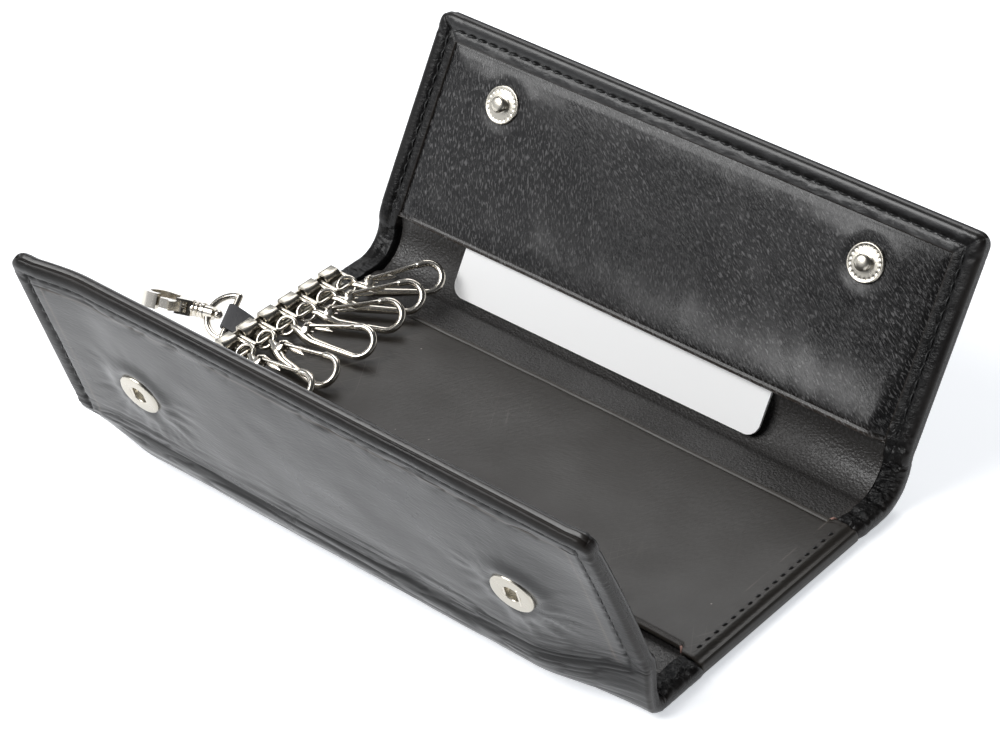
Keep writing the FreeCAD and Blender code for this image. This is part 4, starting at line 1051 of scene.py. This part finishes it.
def flat_to_hook(line, y=0.0):
    """Points of the hook's plane as points of its own space."""
    line = np.asarray(line, float)
    return np.stack([line[:, 0], np.broadcast_to(y, len(line)), line[:, 1]], -1)


def ring_line(centre, radius, count=40):
    turn = np.linspace(0, 2 * math.pi, count, endpoint=False)
    return flat_to_hook(np.stack([centre[0] + radius * np.cos(turn), centre[1] + radius * np.sin(turn)], -1))


side_way = np.array((0, 1.0, 0))
hook_shells = [
    tube(ring_line((0, 0), eye_radius), 0.55, 12, closed=True, across=side_way),
    tube(flat_to_hook(hook_line), hook_thick, 14, across=side_way),
    tube([(pivot[0], -1.5, pivot[1]), (pivot[0], 1.5, pivot[1])], 0.42, 12),
]
for y in (-1.15, 1.15):
    lug = [(pivot[0] - 0.1, y, pivot[1] - 1.1), (pivot[0], y, pivot[1] - 0.5), (pivot[0], y, pivot[1])]
    lug_thick = np.linspace(1.1, 0.7, 8)
    hook_shells.append(tube(curve(lug, 8), lug_thick, 16, across=np.array((1.0, 0, 0)), squash=0.22))
reach = np.concatenate([np.linspace(0.2, gate_length - 0.5, 10), [gate_length - 0.2, gate_length - 0.06]])
spread = np.concatenate([np.linspace(0.72, 0.5, 10), [0.38, 0.16]])
reach, spread = np.concatenate([reach, reach[::-1]]), np.concatenate([spread, -spread[::-1]])
gate_line = flat_to_hook(pivot + reach[:, None] * gate_way)
gate_line[:, 1] = spread
inward = np.array((gate_way[1], -gate_way[0]))
spur = [pivot + gate_way * a + inward * b for a, b in ((2.0, 0.2), (3.4, 0.45), (4.8, 0.8), (6.0, 1.15))]
gate_shells = [
    tube(gate_line, 0.36, 10),
    tube(flat_to_hook(spur), (0.7, 0.75, 0.5, 0.1), 12, across=np.array((0, 0, 1.0)), squash=0.45),
    tube([(pivot[0], -0.9, pivot[1]), (pivot[0], 0.9, pivot[1])], 0.7, 14),
]
for k in range(1, 7):
    eye = np.array(joints[f"hook_{k}_swing"]["pos_m"]) / MM
    y_way = unit(np.array(joints[f"gate_{k}_swing"]["axis"]))
    arm = np.array(joints[f"gate_{k}_swing"]["pos_m"]) / MM - eye
    x_way = unit(pivot[0] * arm + pivot[1] * np.cross(y_way, arm))
    own = np.stack([x_way, y_way, np.cross(x_way, y_way)])
    for kind, shells in (("hook", hook_shells), ("gate", gate_shells)):
        piece = solid(f"{kind}_{k}_wire", [(points @ own + eye, faces) for points, faces in shells], nickel)
        fit(piece, "nickel_plate", f"{kind}_{k}", f"{kind}_{k}")

# Clasp strap: a strip of soft dark leather that is sewn in under the rail, led round the bar of the clasp's
# ring and back to the rail.
strap_leather = leather(
    "strap leather", (0.05, 0.05, 0.053, 1), rough=0.75, pebble=1800.0, crease=500.0, stretch=(1.0, 1.0, 1.0),
    turns=(0.0, 1.0), crease_share=0.2, bump=0.5,
)
ring_bar = np.array(joints["clasp_ring_swing"]["pos_m"]) / MM
bar_way = -np.array(joints["clasp_ring_swing"]["axis"])
strap_root = np.array((-68.0, 0.5, 3.0))
strap_half_width = 3.0
strap_thickness = 0.6
ring_wire = 0.8
ring_play = 0.1
bar_wrap = ring_wire + ring_play + strap_thickness / 2


def clasp_strap():
    share = np.linspace(0, 1, 16)[:, None]
    middle = strap_root + (ring_bar - strap_root) * share
    width = unit(np.array((0, 1.0, 0)) * (1 - eased(share, 0, 1)) + bar_way * eased(share, 0, 1))
    ahead = unit(ring_bar - strap_root)
    rise = unit(np.cross(ahead, width))
    rise = rise * np.sign(rise[:, 2:3])
    gap = 0.4 + (bar_wrap - 0.4) * eased(share, 0.2, 1)
    upper, lower = middle + rise * gap, middle - rise * gap
    turn = np.linspace(0, math.pi, 14)[1:-1, None]
    forward = unit(ahead - bar_way * np.dot(ahead, bar_way))
    wrap = ring_bar + bar_wrap * (np.cos(turn) * rise[-1] + np.sin(turn) * forward)
    line = np.concatenate([upper, wrap, lower[::-1]])
    outward = np.concatenate([rise, unit(wrap - ring_bar), -rise[::-1]])
    widths = np.concatenate([width, np.repeat(width[-1:], len(wrap), 0), width[::-1]])
    across = both_ways(strap_half_width, 0.5, [strap_half_width - m for m in (0.1, 0.25)])
    thick = strap_thickness / 2 - round_edge(strap_half_width - np.abs(across), 0.25)
    grid = line[:, None] + widths[:, None] * across[:, None]
    outer = grid + outward[:, None] * thick[:, None]
    inner = grid - outward[:, None] * thick[:, None]
    along = np.arange(len(line))[:, None] * 0.8 + 0 * across
    place = hide_place(across + 0 * along, along + 400)
    return leather_mesh("clasp_strap", outer, inner, place, 0 * along, strap_leather)


strap = clasp_strap()
fit(strap, "outer_leather", "case_base", "clasp_tab")

# Card: a plain white plastic card, loose in the pocket. The springs, wires, bails, posts, rivets and clasp
# are shown as the CAD has them, and get the nickel plate here.
white_card = plain_finish("card plastic", {"Base Color": (0.98, 0.98, 0.975, 1), "Roughness": 0.35})
for name, part in frame["nodes"].items():
    if not part.hide_render:
        part.data.materials.clear()
        part.data.materials.append(white_card if name == "card" else nickel)

# Table, light and camera: a plain white table under the case, a bright room with soft lights above and to the
# left, and the camera as it was fitted to the photograph.
floor_drop = 0.3
floor_reach = 3.0
floor_corners = [(-1, -1), (1, -1), (1, 1), (-1, 1)]
floor = [(x * floor_reach, y * floor_reach, -floor_drop * MM) for x, y in floor_corners]
floor_mesh = bpy.data.meshes.new("table")
floor_mesh.from_pydata(floor, [], [(0, 1, 2, 3)])
white_table = {"Base Color": (0.9, 0.9, 0.9, 1), "Roughness": 0.9}
white_table.update({"Emission Color": (0.93, 0.96, 1.0, 1), "Emission Strength": 0.6})
table = make_piece("table", floor_mesh, plain_finish("white table", white_table))

world = bpy.data.worlds.new("studio")
world.use_nodes = True
sky = world.node_tree
direction = node(sky, "ShaderNodeTexCoord").outputs["Generated"]
split = node(sky, "ShaderNodeSeparateXYZ", {0: direction})
overhead = smooth_range(sky, split.outputs["Z"], 0.0, 0.75, 1.0, 0.26)
sideways = smooth_range(sky, split.outputs["X"], -0.6, 0.8, 1.0, 0.22)
level = math_node(sky, "MULTIPLY", overhead, sideways)
tinted = mix_colour(sky, level, (0, 0, 0, 1), (0.95, 0.98, 1.04, 1))
sky.links.new(tinted, sky.nodes["Background"].inputs["Color"])
sky.nodes["Background"].inputs["Strength"].default_value = 0.7
bpy.context.scene.world = world


def soft_light(name, place, target, size, power):
    data = bpy.data.lights.new(name, "AREA")
    data.shape = "RECTANGLE"
    data.size, data.size_y = size
    data.energy = power
    light = bpy.data.objects.new(name, data)
    light.location = place
    light.rotation_euler = (Vector(target) - Vector(place)).to_track_quat("-Z", "Y").to_euler()
    bpy.context.scene.collection.objects.link(light)


soft_light("overhead", (-0.35, 0.65, 0.8), (0, 0, 0.02), (0.8, 0.5), 4.4)
soft_light("left", (-0.52, -0.70, 0.84), (0, 0, 0.02), (0.8, 0.7), 14.0)

view_azimuth = math.radians(39.23)
view_elevation = math.radians(36.14)
view_roll = math.radians(0.35)
view_distance = 678.96
view_slide = (-2.49, 20.01)
view_middle = 5.15
focal_pixels = 3155.5
image_width = 1000
back = Vector(
    (
        math.sin(view_azimuth) * math.cos(view_elevation),
        -math.cos(view_azimuth) * math.cos(view_elevation),
        math.sin(view_elevation),
    )
)
level_right = Vector((math.cos(view_azimuth), math.sin(view_azimuth), 0))
level_up = back.cross(level_right)
right = math.cos(view_roll) * level_right + math.sin(view_roll) * level_up
up = math.cos(view_roll) * level_up - math.sin(view_roll) * level_right
lens = bpy.data.cameras.new("camera")
lens.sensor_width = 36.0
lens.lens = lens.sensor_width * focal_pixels / image_width
camera = bpy.data.objects.new("camera", lens)
place = back * view_distance + right * view_slide[0] + up * view_slide[1] + Vector((0, view_middle, 0))
camera.matrix_world = Matrix.Translation(place * MM) @ Matrix((right, up, back)).transposed().to_4x4()
bpy.context.scene.collection.objects.link(camera)
bpy.context.scene.camera = camera
bpy.context.scene.view_settings.view_transform = "Standard"
